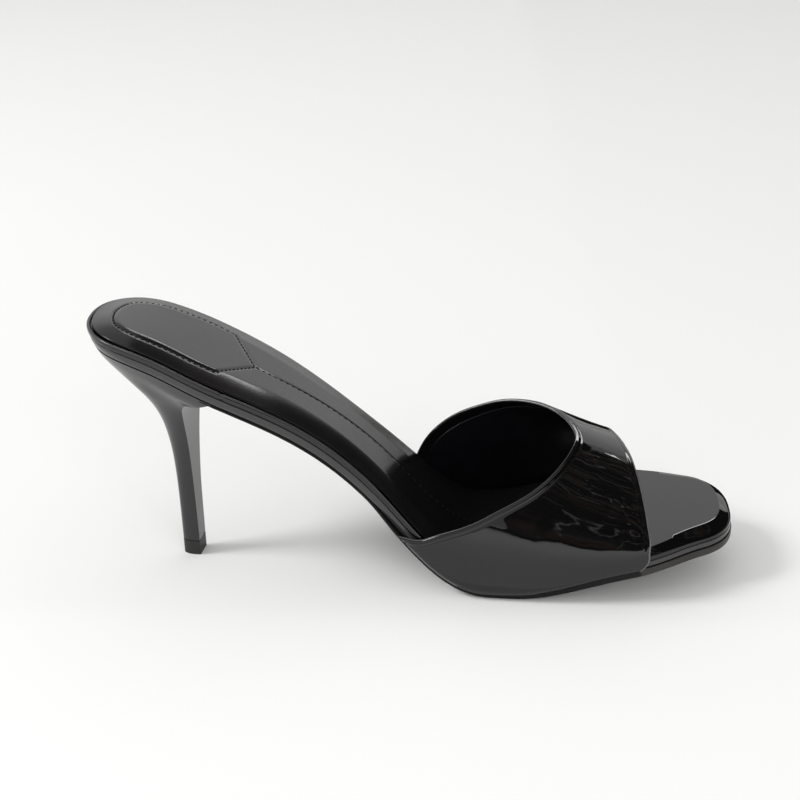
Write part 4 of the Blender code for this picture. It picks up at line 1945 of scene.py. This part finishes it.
KEY_LIGHT = Softbox("key_softbox", (-1.62, -0.28, 1.45), (0.0, 0.0, 0.0), 0.65, 24.0)
FRONT_LIGHT = Softbox("front_softbox", (0.7, -1.7, 0.75), (0.05, 0.0, 0.0), 1.20, 10.5, mirrored=False)


@dataclass
class Studio:
    """The pale sweep, the lights, the dark side of the room and the camera."""

    last: Last
    azimuth: float = 5.04
    elevation: float = 24.18
    roll: float = -1.8
    distance: float = 0.52902
    target: tuple[float, float, float] = (0.10786, 0.0, 0.06159)
    focal_px: float = 1500.0
    picture_px: float = 800.0
    sensor_mm: float = 36.0
    sweep_half_width: float = 3.0
    sweep_front: float = -2.6
    sweep_bend: float = 1.9
    sweep_radius: float = 0.9
    sweep_top: float = 2.6
    floor_steps: int = 12
    room_left: float = -0.05
    room_right: float = 1.7
    room_far: float = -1.6
    room_high: float = 2.2
    room_beyond: float = 2.05
    room_floor: float = 0.002
    floor_near: tuple[float, float] = (-0.46, -0.32)
    corner_start: tuple[float, float] = (0.085, 0.045)
    side_foot: float = 0.16
    side_end: float = 2.3
    window_x: tuple[float, float] = (-0.35, 1.5)
    window_end: float = 2.6
    backdrop_x: tuple[float, float] = (-2.6, 2.6)
    backdrop_y: float = 2.65
    backdrop_z: tuple[float, float] = (0.25, 2.15)
    front_x: tuple[float, float] = (-0.6, 0.7)
    front_height: float = 0.0015
    front_far: float = -0.36
    front_near: float = -0.045
    world_strength: float = 0.715

    def make_camera(self) -> None:
        """The camera, set back from its target along the view and rolled a little."""
        turn = math.radians(self.azimuth)
        tilt = math.radians(self.elevation)
        roll = math.radians(self.roll)
        back = Vector((math.sin(turn) * math.cos(tilt), -math.cos(turn) * math.cos(tilt), math.sin(tilt)))
        right = Vector((math.cos(turn), math.sin(turn), 0.0))
        up = back.cross(right)
        rolled_right = right * math.cos(roll) + up * math.sin(roll)
        rolled_up = up * math.cos(roll) - right * math.sin(roll)
        data = bpy.data.cameras.new("camera")
        data.sensor_width = self.sensor_mm
        data.lens = self.focal_px * self.sensor_mm / self.picture_px
        data.clip_start = 0.01
        data.clip_end = 50.0
        camera = link("camera", data)
        place = Vector(self.last.place(np.array(self.target))) + back * self.distance
        turned = Matrix((rolled_right, rolled_up, back)).transposed().to_4x4()
        camera.matrix_world = Matrix.Translation(place) @ turned
        bpy.context.scene.camera = camera

    @staticmethod
    def make_paper() -> bpy.types.Material:
        """The sweep's matte paper, with a faint unevenness in its colour.

        Returns:
            The material.
        """
        colour = (0.86, 0.86, 0.855)
        shade = 0.985
        material = blank_material("sweep_paper")
        tree = material.node_tree
        uneven = noise(tree, node(tree, "ShaderNodeTexCoord").outputs["Object"], 3.0, 2.0)
        darker = (*(part * shade for part in colour), 1.0)
        looks = {
            "Base Color": colour_mix(tree, uneven, (*colour, 1.0), darker),
            "Roughness": 0.75,
            "Specular IOR Level": 0.15,
        }
        feed(tree, tree.nodes["Principled BSDF"], looks)
        return material

    def make_sweep(self) -> None:
        """The floor and backdrop: one sheet that lies flat and then curves up behind.

        Along its run the sheet is flat up to its bend, follows a quarter circle there and
        then stands upright.
        """
        angle = np.linspace(0.0, 0.5 * math.pi, 24)[1:]
        back = self.sweep_bend + self.sweep_radius
        floor = np.linspace(self.sweep_front, self.sweep_bend, self.floor_steps)
        run_y = np.concatenate([floor, self.sweep_bend + self.sweep_radius * np.sin(angle), [back]])
        curve = self.sweep_radius * (1.0 - np.cos(angle))
        run_z = np.concatenate([np.zeros(self.floor_steps), curve, [self.sweep_top]])
        across = np.linspace(-self.sweep_half_width, self.sweep_half_width, 13)
        grid_x, grid_y = np.meshgrid(across, run_y)
        grid_z = np.repeat(run_z[:, None], len(across), axis=1)
        mesh = mesh_of("sweep", [Patch(np.stack([grid_x, grid_y, grid_z], axis=-1))])
        mesh.shade_smooth()
        mesh.materials.append(self.make_paper())
        sweep = link("sweep", mesh)

    @staticmethod
    def make_panel(name: str, corners: Corners, material: bpy.types.Material) -> None:
        """A flat studio panel that only mirrors see.

        Args:
            name: the panel's name.
            corners: four corners in order, in metres.
            material: what it glows with.
        """
        grid = np.array([[corners[0], corners[1]], [corners[3], corners[2]]], float)
        mesh = mesh_of(name, [Patch(grid)])
        mesh.materials.append(material)
        panel = link(name, mesh)
        panel.visible_camera = False
        panel.visible_diffuse = False
        panel.visible_shadow = False
        panel.visible_transmission = False

    def make_room(self) -> None:
        """The room as the patent mirrors it: dark behind and to the right, bright beyond.

        The near edge of the dark floor runs a little slantwise, nearer on the right, and
        a second dark piece of floor lies to the right of the toe.
        """
        left = self.room_left
        right = self.room_right
        far = self.room_far
        high = self.room_high
        beyond = self.room_beyond
        low = self.room_floor
        ground = (
            (left, far, low),
            (right, far, low),
            (right, self.floor_near[1], low),
            (left, self.floor_near[0], low),
        )
        corner = ((*self.corner_start, low), (right, 0.0, low), (right, beyond, low), (0.0, beyond, low))
        beside = (
            (right, far, self.side_foot),
            (right, self.side_end, self.side_foot),
            (right, self.side_end, high),
            (right, far, high),
        )
        window = level_quad(self.window_x, (beyond, self.window_end), high)
        backdrop = upright_quad(self.backdrop_x, self.backdrop_y, self.backdrop_z)
        before = level_quad(self.front_x, (self.front_far, self.front_near), self.front_height)
        dark = self.make_glow("room_dark", 0.012, (1.0, 0.95, 0.90))
        pale = self.make_glow("room_pale", 0.98, (1.0, 1.0, 1.0))
        bright = self.make_glow("room_window", 8.5, (1.0, 1.0, 1.0))
        clutter = self.make_clutter()
        self.make_panel("room_wall", upright_quad((left, right), far, (0.0, high)), clutter)
        self.make_panel("room_floor", ground, dark)
        self.make_panel("room_corner", corner, dark)
        self.make_panel("room_ceiling", level_quad((left, right), (far, beyond), high), clutter)
        self.make_panel("room_side", beside, dark)
        self.make_panel("room_window", window, bright)
        self.make_panel("room_backdrop", backdrop, pale)
        self.make_panel("room_front", before, self.make_front_glow())

    @staticmethod
    def make_glow(name: str, strength: float, tint: Sequence[float]) -> bpy.types.Material:
        """A plain glowing material for a panel.

        Args:
            name: the material's name.
            strength: how bright it is.
            tint: its colour.

        Returns:
            The material.
        """
        material = blank_material(name)
        tree = material.node_tree
        tree.nodes.clear()
        glow = node(tree, "ShaderNodeEmission", {"Color": (*tint, 1.0), "Strength": strength})
        node(tree, "ShaderNodeOutputMaterial", {"Surface": glow.outputs["Emission"]})
        return material

    def make_front_glow(self) -> bpy.types.Material:
        """The floor before the shoe as the patent mirrors it, brighter with the distance in Y.

        Returns:
            The material.
        """
        material = self.make_glow("room_front", 1.0, (1.0, 1.0, 1.0))
        tree = material.node_tree
        place = node(tree, "ShaderNodeTexCoord").outputs["Object"]
        parts = node(tree, "ShaderNodeSeparateXYZ", {"Vector": place})
        reach = {
            "Value": parts.outputs["Y"],
            "From Min": self.front_near,
            "From Max": (self.front_near + self.front_far) * 0.5,
            "To Min": 1.00,
            "To Max": 1.42,
        }
        scale = node(tree, "ShaderNodeMapRange", reach, interpolation_type="SMOOTHSTEP")
        feed(tree, tree.nodes["Emission"], {"Strength": scale.outputs["Result"]})
        return material

    def make_clutter(self) -> bpy.types.Material:
        """The room's wall: near black, with dim warm patches and thin pale streaks from noise.

        Returns:
            The material.
        """
        material = self.make_glow("room_clutter", 1.0, (0.0, 0.0, 0.0))
        tree = material.node_tree
        place = node(tree, "ShaderNodeTexCoord").outputs["Object"]
        patch_mask = threshold(tree, noise(tree, place, 2.6, 3.0), start=0.48, gain=3.0)
        tints = node(tree, "ShaderNodeValToRGB", {"Fac": noise(tree, place, 3.4, 2.0)})
        ramp = tints.color_ramp.elements
        ramp[0].position = 0.38
        ramp[0].color = (0.34, 0.15, 0.09, 1.0)
        ramp[1].position = 0.62
        ramp[1].color = (0.16, 0.15, 0.26, 1.0)
        ramp.new(0.50).color = (0.48, 0.38, 0.26, 1.0)
        warm = colour_mix(tree, patch_mask, (0.012, 0.011, 0.011, 1.0), tints.outputs["Color"])
        bands = {"Vector": place, "Scale": 0.55, "Distortion": 18.0, "Detail": 3.0, "Detail Scale": 2.2}
        waves = node(tree, "ShaderNodeTexWave", bands, wave_type="BANDS", bands_direction="DIAGONAL")
        crests = threshold(tree, waves.outputs["Fac"], start=0.965, gain=28.0)
        kept = threshold(tree, noise(tree, place, 6.0, 2.0), start=0.40, gain=2.2)
        broken = math_node(tree, "MULTIPLY", crests, kept)
        streaks = colour_mix(tree, broken, warm, (1.7, 1.65, 1.55, 1.0))
        feed(tree, tree.nodes["Emission"], {"Color": streaks})
        return material

    def make_world(self) -> None:
        """Even white light from all round."""
        world = bpy.data.worlds.new("soft_room")
        world.use_nodes = True
        looks = {"Color": (1.0, 0.998, 0.992, 1.0), "Strength": self.world_strength}
        feed(world.node_tree, world.node_tree.nodes["Background"], looks)
        bpy.context.scene.world = world

    def build(self) -> None:
        """Everything round the shoe."""
        self.make_camera()
        self.make_sweep()
        self.make_room()
        for light in (KEY_LIGHT, FRONT_LIGHT):
            light.hang()
        self.make_world()
        bpy.context.scene.view_settings.view_transform = "Standard"


def main() -> None:
    """Build the shoe's sub-assemblies in order, then the studio, and note the sizes."""
    logging.basicConfig(level=logging.INFO, format="%(name)s: %(message)s")
    last = Last()
    effects = Effects()
    for kind in (SoleUnit, FootBed, Vamp, HeelUnit):
        for piece in kind(last, effects).build():
            LOG.info("%s has %d faces", piece.name, len(piece.data.polygons))
    Studio(last).build()
    bpy.context.view_layer.update()


if __name__ == "__main__":
    main()
